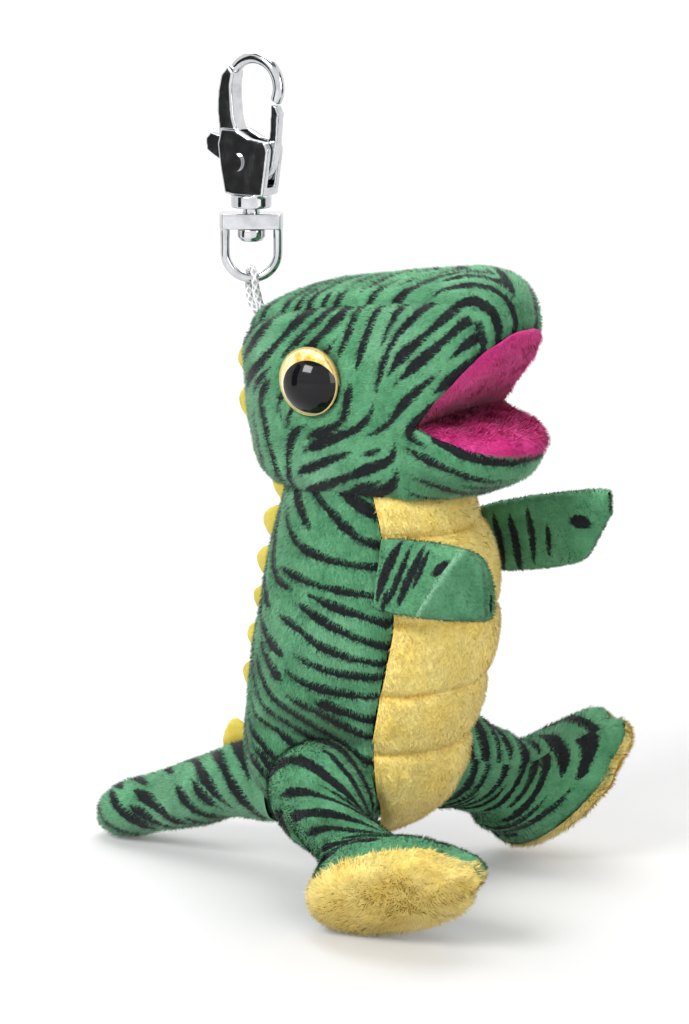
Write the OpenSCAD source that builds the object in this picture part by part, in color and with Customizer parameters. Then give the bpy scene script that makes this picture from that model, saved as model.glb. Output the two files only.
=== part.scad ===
// Plush dinosaur keychain: a stuffed toy on a braided cord loop, with a D-ring, a swivel and a spring-gate hook.
// Millimetres. The toy stands on its heels and its tail, faces -Y, and +Z is up.

/* [Body] */
// Half width of the trunk at its widest, mm
trunk_half_width = 19; // [16:0.5:22]
// Half depth of the trunk at its widest, mm
trunk_half_depth = 19.3; // [16:0.1:22]
// Height of the neck seam above the floor, mm
neck_height = 68; // [62:0.5:72]
// Thickness of the plush cloth, mm
cloth = 1; // [0.6:0.1:1.6]

/* [Head] */
// Half width of the head at the cheeks, mm
cheek_half_width = 15.4; // [13:0.1:19]
// Radius of an eye, mm
eye_radius = 5.4; // [4:0.1:7]
// Height of an eye's centre above the floor, mm
eye_height = 86; // [80:0.5:92]

/* [Limbs] */
// Length of the right arm from seam to folded tip, mm
right_arm_length = 20.5; // [16:0.5:26]
// Length of the left arm from seam to claws, mm
left_arm_length = 24.5; // [18:0.5:30]
// Height of the right arm's claws against its seam, degrees
right_arm_lift = 2; // [-20:1:40]
// Height of the left arm's claws against its seam, degrees
left_arm_lift = 14; // [-20:1:40]
// Toe lift of the right foot, degrees
right_toe_lift = 22; // [0:1:45]
// Toe lift of the left foot, degrees
left_toe_lift = 42; // [0:1:50]
// Outward roll of both soles, degrees
sole_roll = 48; // [0:1:60]
// Half length of a sole, mm
sole_half_length = 15.5; // [12:0.1:18]
// Half width of a sole, mm
sole_half_width = 8.4; // [6:0.1:11]

/* [Spikes] */
// Spacing of the felt scallops down the back, mm
spike_pitch = 6.5; // [5:0.1:9]
// Height of a scallop, mm
spike_height = 4.4; // [2:0.1:7]
// Thickness of the felt, mm
felt = 1.6; // [1:0.1:2.4]

/* [Hardware] */
// Height of the D-ring's lowest point above the floor, mm
ring_bottom = 97.4; // [95:0.1:100]
// Diameter of the D-ring's wire, mm
ring_wire = 1.6; // [1.2:0.1:2.4]
// Outer width of the D-ring, mm
ring_width = 10.1; // [8:0.1:14]
// Turn of the D-ring's face from straight ahead, degrees
ring_turn = -57; // [-90:1:90]
// Radius of the swivel pin's shaft, mm
pin_radius = 1.35; // [1:0.05:2]
// Running clearance of pins in their bores, mm
running_gap = 0.06; // [0.02:0.01:0.1]
// Inner radius of the hook's crown, mm
crown_radius = 3.6; // [3:0.1:5]
// Thickness of the gate plate, mm
gate_thickness = 1.7; // [1.2:0.1:2.4]
// Diameter of the braided cord, mm
cord_diameter = 1.1; // [0.8:0.1:1.6]

/* [View] */
// Sub-part to draw

/* [Hidden] */

green = [0.40, 0.68, 0.52];
yellow = [0.90, 0.80, 0.45];
felt_yellow = [0.88, 0.80, 0.32];
pink = [0.82, 0.16, 0.45];
fibre = [0.93, 0.92, 0.88];
steel = [0.78, 0.79, 0.80];
black = [0.06, 0.06, 0.07];
gold = [0.80, 0.68, 0.36];
lens = [0.85, 0.88, 0.90, 0.4];
cord_grey = [0.80, 0.80, 0.80];

gap = 0.1;          // rest clearance between pieces sewn into one body
filling_gap = 0.36; // rest clearance between a cover and its filling
move_gap = 0.3;     // clearance across a joint
sides = 28;         // points round a soft section

// Trunk sections: height, middle of the depth, half width, half depth
trunk_top_width = 14.2;
trunk = [
    [10, 0.5, 0.4, 0.4],
    [10.2, 0.5, 4, 4],
    [11, 0.5, 8, 8],
    [13, 0.4, 11.5, 12],
    [17, 0.2, 15.5, 16],
    [22, -0.2, 17.6, 17.8],
    [28, -1, 18.5, 18.4],
    [34, -2.2, trunk_half_width, 19],
    [41, -3.6, 18.8, trunk_half_depth],
    [48, -4.8, 18, trunk_half_depth],
    [55, -5, 16.9, 18.5],
    [61, -4.7, 15.6, 16.8],
    [65, -4.4, 14.6, 15.4],
    [neck_height, -4, trunk_top_width, 14.6]
];
trunk_fold = 13;       // below this height the cloth turns under the trunk
hip_flat = 14.5;        // flat of each side where a leg is sewn on
hip_flat_top = 29;
tail_flat = 14.5;       // flat of the back where the tail is sewn on
tail_flat_top = 23;
flat_fade = 6;
// Angle of the belly panel's edge from straight ahead, by height
belly_edge = [[10, 30], [14, 38], [20, 46], [29, 51], [48, 52], [56, 55], [neck_height, 60]];
seam_gap = 0.6;         // width of a seam between two cloth panels, degrees

// Head sections from the back of the skull to the lips:
// side [x, y, z], top [y, z], bottom [y, z]
crease_y = -19.6;
crease_z = 80;
upper_lip = [-31.2, 94.4];
lower_lip = [-32.9, 75.4];
skull = [
    [[0.4, 17.7, 82], [17.7, 82.4], [17.7, 81.6]],
    [[3, 17.6, 82], [17.6, 85], [17.6, 79]],
    [[7.6, 15.8, 82], [17, 90], [15.8, 74]],
    [[11.9, 12.2, 82], [14.4, 94.6], [11.4, 64]],
    [[14.6, 7, 82.4], [9, 97.6], [6, 56]],
    [[cheek_half_width, 0.5, 82.6], [2, 99.8], [0, 52]],
    [[cheek_half_width, -6, 82.6], [-7, 101.2], [-7, 53]],
    [[15, -12, 82], [-15, 102.6], [-13, 58]],
    [[14.2, -16.5, 81.4], [-22, 103.6], [-20, 66.4]],
    [[13.8, -18.8, 80.6], [-27, 102.6], [-26.5, 68.6]],
    [[13.5, -19.4, 80.2], [-30.2, 99], [-31, 71.4]],
    [[13.2, crease_y, crease_z], upper_lip, lower_lip]
];
head_base = neck_height + gap;
gusset_half = 38;       // half angle of the top panel, degrees
squareness = 0.82;      // below 1 is squarer than an ellipse
lining = 1.2;           // thickness of the mouth lining

eye_y = -1.8;
eye_face = 15.5;        // x of the flat back of an eye
eye_rim = 0.9;
eye_bulge = 3.5;
eye_stem = 1.3;
eye_stem_length = 7;
washer_radius = 4.2;
washer_thickness = 1;

arm_seam_low = [17.2, -15, 51];
arm_seam_high = [14.4, -15, 62];
arm_thickness = 2.6;

hip = [hip_flat + move_gap, -4, 19];
right_sole_centre = [27, -24.5, 8.6];
left_sole_centre = [29.5, -23, 13.2];
sole_thickness = 1.4;

tail_pivot = [0, 21.8, 14.4];
tail_root = 7;
// Tail sections: y, z, radius
tail_path = [
    [22.6, 14, 6.9], [27, 12, 6.6], [32, 10, 6.2], [37, 8.1, 5.8], [42, 6.3, 5.4], [46, 5.1, 5],
    [48.6, 4.5, 4.1], [50.2, 4.3, 2.8], [50.9, 4.2, 1.3]
];

clasp_y = 19.9;
cord_exit = [0, 16.6, 91.2];
cord_hole = 2;
cord_sides = 8;

// Height of parts of the clasp above the D-ring's lowest point
bridge_low = 9;
bridge_high = 11.5;
flange_low = 12.4;
flange_high = 14.5;
hook_low = ring_bottom + flange_high;
crown_z = ring_bottom + 32;
crown_u = 0.9;          // crown centre off the swivel's axis, away from the gate's tab
rod = 1;                // radius of the hook's rod
rivet_u = -1.6;
rivet_z = ring_bottom + 19.8;
rivet_radius = 0.75;
body_thickness = 4.6;
shank_thickness = 3.2;
slot_width = gate_thickness + 0.4;
slot_low = hook_low + 1.4;
slot_high = ring_bottom + 24.8;

// Middle of the whole part's footprint, and its lowest point, before it is placed on the origin
footprint = [1.25, 5.736, 0.085];

module placed() {
    translate(-footprint) children();
}

// ---- soft shapes ----
function power(v, e) = sign(v) * pow(abs(v), e);
function side_limit(z, flat, top) = z < top ? flat : flat + (z - top) * 4 / flat_fade;
function column(table, c) = [for (s = table) [s[0], s[c]]];

// A point of the trunk's surface, set in from it, at height z and angle a (-90 is the belly)
function trunk_point(z, a, inset) =
    let (
        full_x = lookup(z, column(trunk, 2)),
        full_y = lookup(z, column(trunk, 3)),
        half_x = full_x - min(inset, full_x / 2),
        half_y = full_y - min(inset, full_y / 2),
        limit_x = side_limit(z, hip_flat, hip_flat_top) - inset,
        limit_y = side_limit(z, tail_flat, tail_flat_top) - inset,
        x = half_x * cos(a),
        y = lookup(z, column(trunk, 1)) + half_y * sin(a)
    )
    [sign(x) * min(abs(x), limit_x), min(y, limit_y), z + inset * max(0, trunk_fold - z) / (trunk_fold - trunk[0][0])];

// A point of the head's surface, set in from it, on section i at angle a (90 is the top)
function skull_point(i, a, inset) =
    let (
        s = skull[i],
        edge = sin(a) > 0 ? s[1] : s[2],
        in = min(inset, s[0][0] / 2),
        across = power(cos(a), squareness),
        away = abs(power(sin(a), squareness)),
        shift = inset * (2 * i / (len(skull) - 1) - 1),
        y = s[0][1] + (edge[0] - s[0][1]) * away + shift,
        z = s[0][2] + (edge[1] - s[0][2]) * away - in * power(sin(a), squareness)
    )
    [(s[0][0] - in) * across, y, max(z, head_base + inset)];

function ring_of(centre, u, v, n = sides) =
    [for (j = [0:n - 1]) centre + u * cos(360 * j / n) + v * sin(360 * j / n)];

// Side faces between m rings of n points
function wall_faces(m, n) = [
    for (i = [0:m - 2], j = [0:n - 1])
        [i * n + j, i * n + (j + 1) % n, (i + 1) * n + (j + 1) % n, (i + 1) * n + j]
];

function split(f) = [[f[0], f[1], f[2]], [f[0], f[2], f[3]]];

// A closed solid through a list of flat rings, with flat ends
module loft(rings) {
    n = len(rings[0]);
    m = len(rings);
    faces = concat(
        [[for (j = [n - 1:-1:0]) j]],
        [for (f = wall_faces(m, n)) each split(f)],
        [[for (j = [0:n - 1]) (m - 1) * n + j]]
    );
    polyhedron(points = [for (r = rings) each r], faces = faces, convexity = 8);
}

// A cloth panel: grids of outer and inner points, rows by columns, joined round all four edges
module panel(outer, inner) {
    m = len(outer);
    n = len(outer[0]);
    k = m * n;
    top = [for (i = [0:m - 2], j = [0:n - 2]) each split([i * n + j, i * n + j + 1, (i + 1) * n + j + 1, (i + 1) * n + j])];
    under = [for (f = top) [f[2] + k, f[1] + k, f[0] + k]];
    rim = concat(
        [for (j = [0:n - 2]) [j + 1, j]],
        [for (i = [0:m - 2]) [i * n, (i + 1) * n]],
        [for (j = [0:n - 2]) [(m - 1) * n + j, (m - 1) * n + j + 1]],
        [for (i = [0:m - 2]) [(i + 1) * n + n - 1, i * n + n - 1]]
    );
    edge = [for (e = rim) each split([e[0], e[1], e[1] + k, e[0] + k])];
    polyhedron(
        points = concat([for (r = outer) each r], [for (r = inner) each r]),
        faces = concat(top, under, edge),
        convexity = 8
    );
}

// ---- trunk ----
function belly_angle(z) = lookup(z, belly_edge);
function trunk_rows(from, to, inset, n) = [
    for (s = trunk)
        let (z = s[0], a = belly_angle(z), lo = from * a + (from < 0 ? 0 : seam_gap), hi = to - from * a)
            [for (j = [0:n]) trunk_point(z, -90 + lo + (hi - lo) * j / n, inset)]
];

module body_cover() {
    color(green) placed() panel(trunk_rows(1, 360 - seam_gap, 0, sides), trunk_rows(1, 360 - seam_gap, cloth, sides));
}

module belly_panel() {
    n = 10;
    color(yellow) placed() panel(
        [for (s = trunk) [for (j = [0:n]) trunk_point(s[0], -90 + belly_angle(s[0]) * (2 * j / n - 1), 0)]],
        [for (s = trunk) [for (j = [0:n]) trunk_point(s[0], -90 + belly_angle(s[0]) * (2 * j / n - 1), cloth)]]
    );
}

module body_stuffing() {
    color(fibre) placed() loft([
        for (s = trunk)
            [for (j = [0:sides - 1]) trunk_point(s[0], 360 * j / sides, cloth + filling_gap)]
    ]);
}

// ---- felt scallops ----
function scallop(t) = spike_height * pow(abs(sin(180 * t)), 0.6);
function back_line(profile, z) = lookup(z, profile);

// A strip of felt standing on a back line (height against y) with whole scallops
module spike_strip(profile, low, count) {
    steps = 8;
    z_at = function (i) low + i * spike_pitch / steps;
    outer = [
        for (i = [0:count * steps])
            [back_line(profile, z_at(i)) + 0.7 + scallop(i / steps), z_at(i)]
    ];
    base = [for (i = [count * steps:-1:0]) [back_line(profile, z_at(i)) + gap, z_at(i)]];
    rotate([90, 0, 90]) linear_extrude(felt, center = true) polygon(concat(outer, base));
}

module body_spikes() {
    profile = [for (s = trunk) [s[0], trunk_point(s[0], 90, 0)[1]]];
    color(felt_yellow) placed() spike_strip(profile, 22.2, 7);
}

module head_spikes() {
    profile = [[head_base, 12.6], [71, 14.6], [75, 16.5], [79, 17.7], [85, 17.7], [90, 17.1]];
    color(felt_yellow) placed() spike_strip(profile, head_base + 0.5, 3);
}

// ---- head ----
function skull_rows(lo, hi, inset, n) =
    [for (i = [0:len(skull) - 1]) [for (j = [0:n]) skull_point(i, lo + (hi - lo) * j / n, inset)]];

module eye_axis(side) {
    translate([side * eye_face, eye_y, eye_height]) rotate([0, side * 90, 0]) children();
}

module stem_bore(side) {
    eye_axis(side) translate([0, 0, -eye_stem_length - 1]) cylinder(r = eye_stem + gap, h = eye_stem_length + 4, $fn = 24);
}

module cord_bore(radius) {
    translate(cord_exit) rotate([-20, 0, 0]) cylinder(r = radius, h = 12, center = true, $fn = 32);
}

module head_cover() {
    color(green) placed() difference() {
        panel(
            skull_rows(90 + gusset_half, 450 - gusset_half, 0, sides),
            skull_rows(90 + gusset_half, 450 - gusset_half, cloth, sides)
        );
        for (side = [-1, 1]) stem_bore(side);
    }
}

module head_top_panel() {
    lo = 90 - gusset_half + seam_gap;
    hi = 90 + gusset_half - seam_gap;
    color(green) placed() difference() {
        panel(skull_rows(lo, hi, 0, 8), skull_rows(lo, hi, cloth, 8));
        cord_bore(cord_hole);
    }
}

// The filling closes across the two flat roofs of the open mouth
module head_stuffing() {
    inset = cloth + filling_gap;
    n = sides;
    m = len(skull);
    back = lining + gap;
    roof = [for (j = [0:n - 1]) let (s = sin(360 * j / n)) s > 0 ? back * 0.4 : inset * power(s, squareness) - back * 0.9];
    rows = [
        for (i = [0:m - 1]) [
            for (j = [0:n - 1])
                let (p = skull_point(i, 360 * j / n, inset), a = 360 * j / n)
                    i < m - 1 ? p : p + [0, back * (1 + 0.4 * abs(sin(a))), roof[j]]
        ]
    ];
    last = (m - 1) * n;
    color(fibre) placed() difference() {
        polyhedron(
            points = [for (r = rows) each r],
            faces = concat(
                [[for (j = [n - 1:-1:0]) j]],
                [for (f = wall_faces(m, n)) each split(f)],
                mouth_faces(last, n)
            ),
            convexity = 8
        );
        for (side = [-1, 1]) {
            stem_bore(side);
            eye_axis(side) translate([0, 0, -cloth - 3.2]) cylinder(r = washer_radius + gap, h = 4, $fn = 32);
        }
        translate(cord_exit) rotate([-20, 0, 0]) translate([0, 0, -10]) cylinder(r = 4.2, h = 13, $fn = 32);
    }
}

// Strips across the mouth from side to side, upper half then lower half
function mouth_faces(last, n) = concat(
    [for (j = [0:n / 4 - 1]) each strip(last + j, last + j + 1, last + n / 2 - j - 1, last + n / 2 - j)],
    [
        for (j = [0:n / 4 - 1])
            each strip(last + n / 2 + j, last + n / 2 + j + 1, last + (n - j - 1) % n, last + (n - j) % n)
    ]
);
function strip(a, b, c, d) = b == c ? [[a, b, d]] : [[a, b, c], [a, c, d]];

// A flat lining in the plane from the mouth's crease to a lip, thickness towards the filling
module mouth_lining(lip, away) {
    reach = [lip[0] - crease_y, lip[1] - crease_z];
    length = norm(reach) - cloth - 0.4;
    tilt = atan2(reach[1], -reach[0]);
    half = skull[len(skull) - 1][0][0] - cloth - 0.3;
    shape = [for (j = [0:24]) [half * cos(180 * j / 24), -length * pow(sin(180 * j / 24), squareness)]];
    translate([0, crease_y, crease_z]) rotate([-tilt, 0, 0]) translate([0, 0, away > 0 ? 0.1 : -lining - 0.1])
        linear_extrude(lining) polygon(shape);
}

module upper_mouth_lining() {
    color(pink) placed() mouth_lining(upper_lip, 1);
}

module lower_mouth_lining() {
    color(pink) placed() mouth_lining(lower_lip, -1);
}

// ---- eyes ----
module eye_dome(side) {
    ball = (eye_radius * eye_radius + eye_bulge * eye_bulge) / (2 * eye_bulge);
    eye_axis(side) translate([0, 0, eye_rim]) rotate_extrude($fn = 64) intersection() {
        translate([0, eye_bulge - ball]) circle(r = ball, $fn = 96);
        translate([0, 0.02]) square([eye_radius, eye_bulge + 1]);
    }
}

module eye_base(side) {
    eye_axis(side) {
        cylinder(r = eye_radius, h = eye_rim, $fn = 64);
        translate([0, 0, -eye_stem_length]) cylinder(r = eye_stem, h = eye_stem_length + 0.2, $fn = 32);
    }
}

module eye_washer(side) {
    eye_axis(side) translate([0, 0, -cloth - 2.9]) difference() {
        cylinder(r = washer_radius, h = washer_thickness, $fn = 48);
        translate([0, 0, -1]) cylinder(r = eye_stem + 0.04, h = washer_thickness + 2, $fn = 32);
    }
}

module right_eye_dome() {
    color(lens) placed() eye_dome(-1);
}

module left_eye_dome() {
    color(lens) placed() eye_dome(1);
}

module right_eye_base() {
    color(gold) placed() eye_base(-1);
}

module left_eye_base() {
    color(gold) placed() eye_base(1);
}

module right_eye_washer() {
    color(black) placed() eye_washer(-1);
}

module left_eye_washer() {
    color(black) placed() eye_washer(1);
}

// ---- arms ----
// A flat pad of two cloth layers, hinged on its seam: outline as [forward, up], seam edge rounded
module arm(side, lift, outline) {
    seam = arm_seam_high - arm_seam_low;
    lean = atan2(-seam[0], seam[2]);
    rise = tan(lift);
    lifted = [for (p = outline) [p[0], p[1] + p[0] * rise]];
    mirror([side < 0 ? 1 : 0, 0, 0]) translate((arm_seam_low + arm_seam_high) / 2) rotate([0, -lean, 0]) {
        rotate([90, 0, -90]) linear_extrude(arm_thickness, center = true) polygon(lifted);
        cylinder(r = arm_thickness / 2 + 0.2, h = norm(seam) + 0.6, center = true, $fn = 32);
    }
}

arm_half = norm(arm_seam_high - arm_seam_low) / 2;

// The right arm's tip is folded back, so its end is square
module right_arm() {
    long = right_arm_length;
    half = arm_half;
    color(green) placed() arm(-1, right_arm_lift, [
        [0, -half], [long * 0.5, -half - 0.3], [long, -half + 0.6], [long - 0.5, -half + 4.4],
        [long - 2, half - 3], [long - 4.6, half - 0.6], [long * 0.4, half + 0.3], [0, half]
    ]);
}

// The left arm ends in two claw points on a slanting edge
module left_arm() {
    long = left_arm_length;
    half = arm_half;
    color(green) placed() arm(1, left_arm_lift, [
        [0, -half], [long * 0.35, -half - 1], [long * 0.74, -half - 0.4], [long * 0.9, -half + 4],
        [long, half - 3.6], [long - 1.4, half - 2.4], [long - 0.4, half - 0.3], [long - 3, half + 0.1],
        [long * 0.5, half + 0.4], [0, half]
    ]);
}

// ---- legs ----
function tip_up(p, a) = [p[0], p[1] * cos(a) + p[2] * sin(a), -p[1] * sin(a) + p[2] * cos(a)];

// Rings of a left leg from the hip's flat to the sole's rim; radii shrink by inset
function leg_rings(sole, lift, inset) =
    let (
        toe = tip_up([0, -1, 0], lift),
        wide = tip_up([cos(sole_roll), 0, sin(sole_roll)], lift),
        down = tip_up([sin(sole_roll), 0, -cos(sole_roll)], lift),
        instep = sole - down * 7.5 - toe * 5,
        thigh = [20, -7, 16.6],
        ankle = (thigh + instep) / 2,
        k = inset
    )
    [
        ring_of(hip + [k, 0, 0], [0, k - 8.8, 0], [0, 0, 8.8 - k]),
        ring_of([17.6, -4.6, 18.3], [0, k - 9.6, 0], [0.2, 0, 0.98] * (9.3 - k)),
        ring_of(thigh, [0, k - 9, 1], [0.42, 0.1, 0.9] * (8 - k)),
        ring_of(ankle, [0, -0.95, 0.3] * (7.6 - k), [0.58, 0.2, 0.78] * (7.2 - k)),
        ring_of(instep, toe * (10 - k), wide * (7.6 - k)),
        ring_of(sole - down * 5 - toe * 1.5, toe * (13.5 - k), wide * (8.8 - k)),
        ring_of(sole - down * 2.4, toe * (sole_half_length + 0.5 - k), wide * (sole_half_width + 0.8 - k)),
        ring_of(sole - down * (k > 0 ? 0.2 : 0), toe * (sole_half_length - k), wide * (sole_half_width - k))
    ];

function reversed(list) = [for (i = [len(list) - 1:-1:0]) list[i]];

// The cloth of a leg: outer rings to the sole's rim, then back up the inside to the hip
module leg_cloth(sole, lift) {
    loft(concat(leg_rings(sole, lift, 0), reversed(leg_rings(sole, lift, cloth))));
}

module leg_filling(sole, lift) {
    loft(leg_rings(sole, lift, cloth + gap));
}

module sole_panel(sole, lift) {
    toe = tip_up([0, -1, 0], lift);
    wide = tip_up([cos(sole_roll), 0, sin(sole_roll)], lift);
    down = tip_up([sin(sole_roll), 0, -cos(sole_roll)], lift);
    start = sole + down * gap;
    loft([
        ring_of(start, toe * sole_half_length, wide * sole_half_width),
        ring_of(start + down * sole_thickness * 0.6, toe * (sole_half_length - 0.3), wide * (sole_half_width - 0.3)),
        ring_of(start + down * sole_thickness, toe * (sole_half_length - 1.4), wide * (sole_half_width - 1.4))
    ]);
}

module right_leg_cover() {
    color(green) placed() mirror([1, 0, 0]) leg_cloth(right_sole_centre, right_toe_lift);
}

module left_leg_cover() {
    color(green) placed() leg_cloth(left_sole_centre, left_toe_lift);
}

module right_leg_stuffing() {
    color(fibre) placed() mirror([1, 0, 0]) leg_filling(right_sole_centre, right_toe_lift);
}

module left_leg_stuffing() {
    color(fibre) placed() leg_filling(left_sole_centre, left_toe_lift);
}

module right_sole() {
    color(yellow) placed() mirror([1, 0, 0]) sole_panel(right_sole_centre, right_toe_lift);
}

module left_sole() {
    color(yellow) placed() sole_panel(left_sole_centre, left_toe_lift);
}

// ---- tail ----
// Rounded root about the tail's pivot, then the path's sections
function tail_rings(inset) = concat(
    [
        for (a = [15:15:75])
            let (r = tail_root - inset)
                ring_of(tail_pivot - [0, r * cos(a), 0], [r * sin(a), 0, 0], [0, 0, r * sin(a)], 24)
    ],
    [
        for (s = tail_path)
            let (r = max(s[2] - inset, 0.5), y = s[0] - (s[0] > 50 ? inset : 0))
                ring_of([0, y, s[1]], [r, 0, 0], [0, -0.28 * r * 0.2, r], 24)
    ]
);

module tail_cover() {
    outer = tail_rings(0);
    inner = [for (i = [1:len(outer) - 1]) tail_rings(cloth)[i]];
    color(green) placed() loft(concat(reversed(outer), inner));
}

module tail_stuffing() {
    rings = tail_rings(cloth + gap);
    color(fibre) placed() loft([for (i = [1:len(rings) - 1]) rings[i]]);
}

// One scallop on top of the tail's root
module tail_spike() {
    root = [20.9, tail_pivot[2] + tail_root + gap];
    long = 4.8;
    slope = -0.2;
    edge = [for (i = [0:12]) root + [long * i / 12, slope * long * i / 12 + 0.3 + 0.6 * scallop(i / 12)]];
    base = [root + [long, slope * long], root];
    color(felt_yellow) placed() rotate([90, 0, 90]) linear_extrude(felt, center = true) polygon(concat(edge, base));
}

// ---- cord ----
ring_across = [cos(ring_turn), sin(ring_turn), 0];
ring_out = [sin(ring_turn), -cos(ring_turn), 0];
bar_centre = [0, clasp_y, ring_bottom + ring_wire / 2];
cord_radius = cord_diameter / 2;
bend_radius = ring_wire / 2 + cord_radius + 0.3;

// The loop's centre line: up one strand, over the bar, down the other
cord_arch = [
    for (a = [0:30:180])
        bar_centre + ring_out * bend_radius * cos(a) + [0, 0, 1] * bend_radius * sin(a) + ring_across * 0.55 * cos(a)
];
cord_foot = cord_exit + [0, -2.1, -5.6];
cord_line = concat(
    [cord_foot + ring_across * 0.62, cord_exit + ring_across * 0.68, bar_centre + [0, -0.6, -3.6] + ring_across * 0.75 + ring_out * 0.6],
    cord_arch,
    [bar_centre + [0, -0.6, -3.6] - ring_across * 0.75 - ring_out * 0.6, cord_exit - ring_across * 0.68, cord_foot - ring_across * 0.62]
);

function unit(v) = v / norm(v);

// Tube rings along a line: each ring stands across the line's direction
function tube_rings(line, r, n) = [
    for (i = [0:len(line) - 1])
        let (
            d = unit(line[min(i + 1, len(line) - 1)] - line[max(i - 1, 0)]),
            u = unit(cross(d, ring_across)),
            v = cross(d, u)
        )
        [for (j = [0:n - 1]) line[i] + r * (u * cos(360 * j / n) + v * sin(360 * j / n))]
];

module hang_cord() {
    color(cord_grey) placed() loft(tube_rings(cord_line, cord_radius, cord_sides));
}

module cord_knot() {
    color(cord_grey) placed() translate(cord_foot + [0, -0.5, -1.7]) sphere(r = 1.6, $fn = 32);
}

// ---- clasp ----
module at_ring() {
    translate([0, clasp_y, ring_bottom]) rotate([0, 0, ring_turn]) children();
}

// Across the clasp is -Y, up is +Z, and thickness is along X
module at_clasp() {
    translate([0, clasp_y, 0]) rotate([90, 0, -90]) children();
}

module d_ring() {
    bend = ring_width / 2 - ring_wire / 2;
    straight = bridge_low - bend - ring_wire / 2;
    color(steel) placed() at_ring() difference() {
        union() {
            translate([0, 0, bend + ring_wire / 2]) rotate([90, 0, 0])
                rotate_extrude(angle = -180, $fn = 64) translate([bend, 0]) circle(d = ring_wire, $fn = 32);
            for (side = [-1, 1]) translate([side * bend, 0, bend + ring_wire / 2])
                cylinder(d = ring_wire, h = straight + 1.4, $fn = 32);
            translate([0, 0, (bridge_low + bridge_high) / 2]) intersection() {
                cube([ring_width + 2, 4.6, bridge_high - bridge_low], center = true);
                cylinder(d = ring_width + 0.3, h = bridge_high, center = true, $fn = 64);
            }
        }
        translate([0, 0, bridge_low - 1]) cylinder(r = pin_radius + running_gap, h = bridge_high, $fn = 48);
    }
}

module swivel_pin() {
    head = 2.3;
    color(steel) placed() at_ring() {
        translate([0, 0, bridge_low - 2.1]) cylinder(r1 = head - 0.5, r2 = head, h = 0.7, $fn = 48);
        translate([0, 0, bridge_low - 1.4]) cylinder(r = head, h = 1.3, $fn = 48);
        translate([0, 0, bridge_low - 0.2]) cylinder(r = pin_radius, h = flange_high - bridge_low + 0.2, $fn = 48);
    }
}

module hook_shape() {
    polygon([
        [-3.7, hook_low], [3.7, hook_low], [4.3, hook_low + 4], [4.8, hook_low + 7.6], [4.2, hook_low + 8.8],
        [1.2, hook_low + 9.2], [-1.4, hook_low + 10.4], [-4.4, hook_low + 10.4], [-5, hook_low + 8], [-4.5, hook_low + 4]
    ]);
}

module shank_shape() {
    polygon([
        [-5, hook_low + 7], [-1.2, hook_low + 7], [-1.6, hook_low + 9.8], [-2.4, hook_low + 12.5], [-2.7, crown_z - 1.5],
        [-2.7, crown_z], [-2.3, crown_z + 2], [-3.4, crown_z + 3.2], [-4.8, crown_z + 1.6], [-5.4, crown_z - 1],
        [-5.6, crown_z - 4], [-5.4, hook_low + 12]
    ]);
}

module hook_body() {
    sweep = 195;
    color(steel) placed() difference() {
        union() {
            at_clasp() linear_extrude(body_thickness, center = true) hook_shape();
            at_clasp() linear_extrude(shank_thickness, center = true) shank_shape();
            at_clasp() translate([crown_u, crown_z, 0]) rotate([0, 0, -30]) rotate_extrude(angle = sweep, $fn = 72)
                translate([crown_radius, 0]) intersection() {
                    translate([rod * 0.9, 0]) circle(r = rod, $fn = 32);
                    translate([0, -rod]) square([3 * rod, 2 * rod]);
                }
            translate([0, clasp_y, ring_bottom + flange_low]) cylinder(r = 3.3, h = flange_high - flange_low, $fn = 64);
        }
        at_clasp() linear_extrude(slot_width, center = true)
            polygon([[-8, slot_low], [8, slot_low], [8, slot_high], [-8, slot_high]]);
        at_clasp() translate([rivet_u, rivet_z, 0]) cylinder(r = rivet_radius, h = 12, center = true, $fn = 32);
        translate([0, clasp_y, ring_bottom + flange_low - 1])
            cylinder(r = pin_radius, h = flange_high - flange_low + 1, $fn = 48);
    }
}

module gate() {
    hub = 1.9;
    tip_z = crown_z - 2.9;
    color(steel) placed() at_clasp() difference() {
        linear_extrude(gate_thickness, center = true) union() {
            translate([rivet_u, rivet_z]) circle(r = hub, $fn = 48);
            polygon([
                [rivet_u, rivet_z - hub], [3.2, rivet_z - 3], [4.7, rivet_z - 0.6], [5.5, rivet_z + 3.4],
                [5.9, tip_z - 1.2], [5.3, tip_z], [4.4, tip_z + 0.2], [4.1, rivet_z + 4.2], [2.5, rivet_z + 2.4],
                [rivet_u, rivet_z + hub]
            ]);
            polygon([
                [rivet_u, rivet_z - 1.6], [rivet_u, rivet_z + hub], [-4.6, rivet_z + 3.6], [-7.4, rivet_z + 4.2],
                [-8.3, rivet_z + 3.2], [-8.1, rivet_z + 1.4], [-7, rivet_z + 0.7], [-4.4, rivet_z - 0.6]
            ]);
        }
        translate([rivet_u, rivet_z, 0]) cylinder(r = rivet_radius + running_gap, h = 12, center = true, $fn = 32);
    }
}

module gate_rivet() {
    half = body_thickness / 2;
    color(steel) placed() at_clasp() translate([rivet_u, rivet_z, 0]) {
        cylinder(r = rivet_radius, h = 2 * half + 0.2, center = true, $fn = 32);
        for (side = [-1, 1]) translate([0, 0, side * (half + 0.25)]) cylinder(r = 1.55, h = 0.4, center = true, $fn = 48);
    }
}

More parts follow.
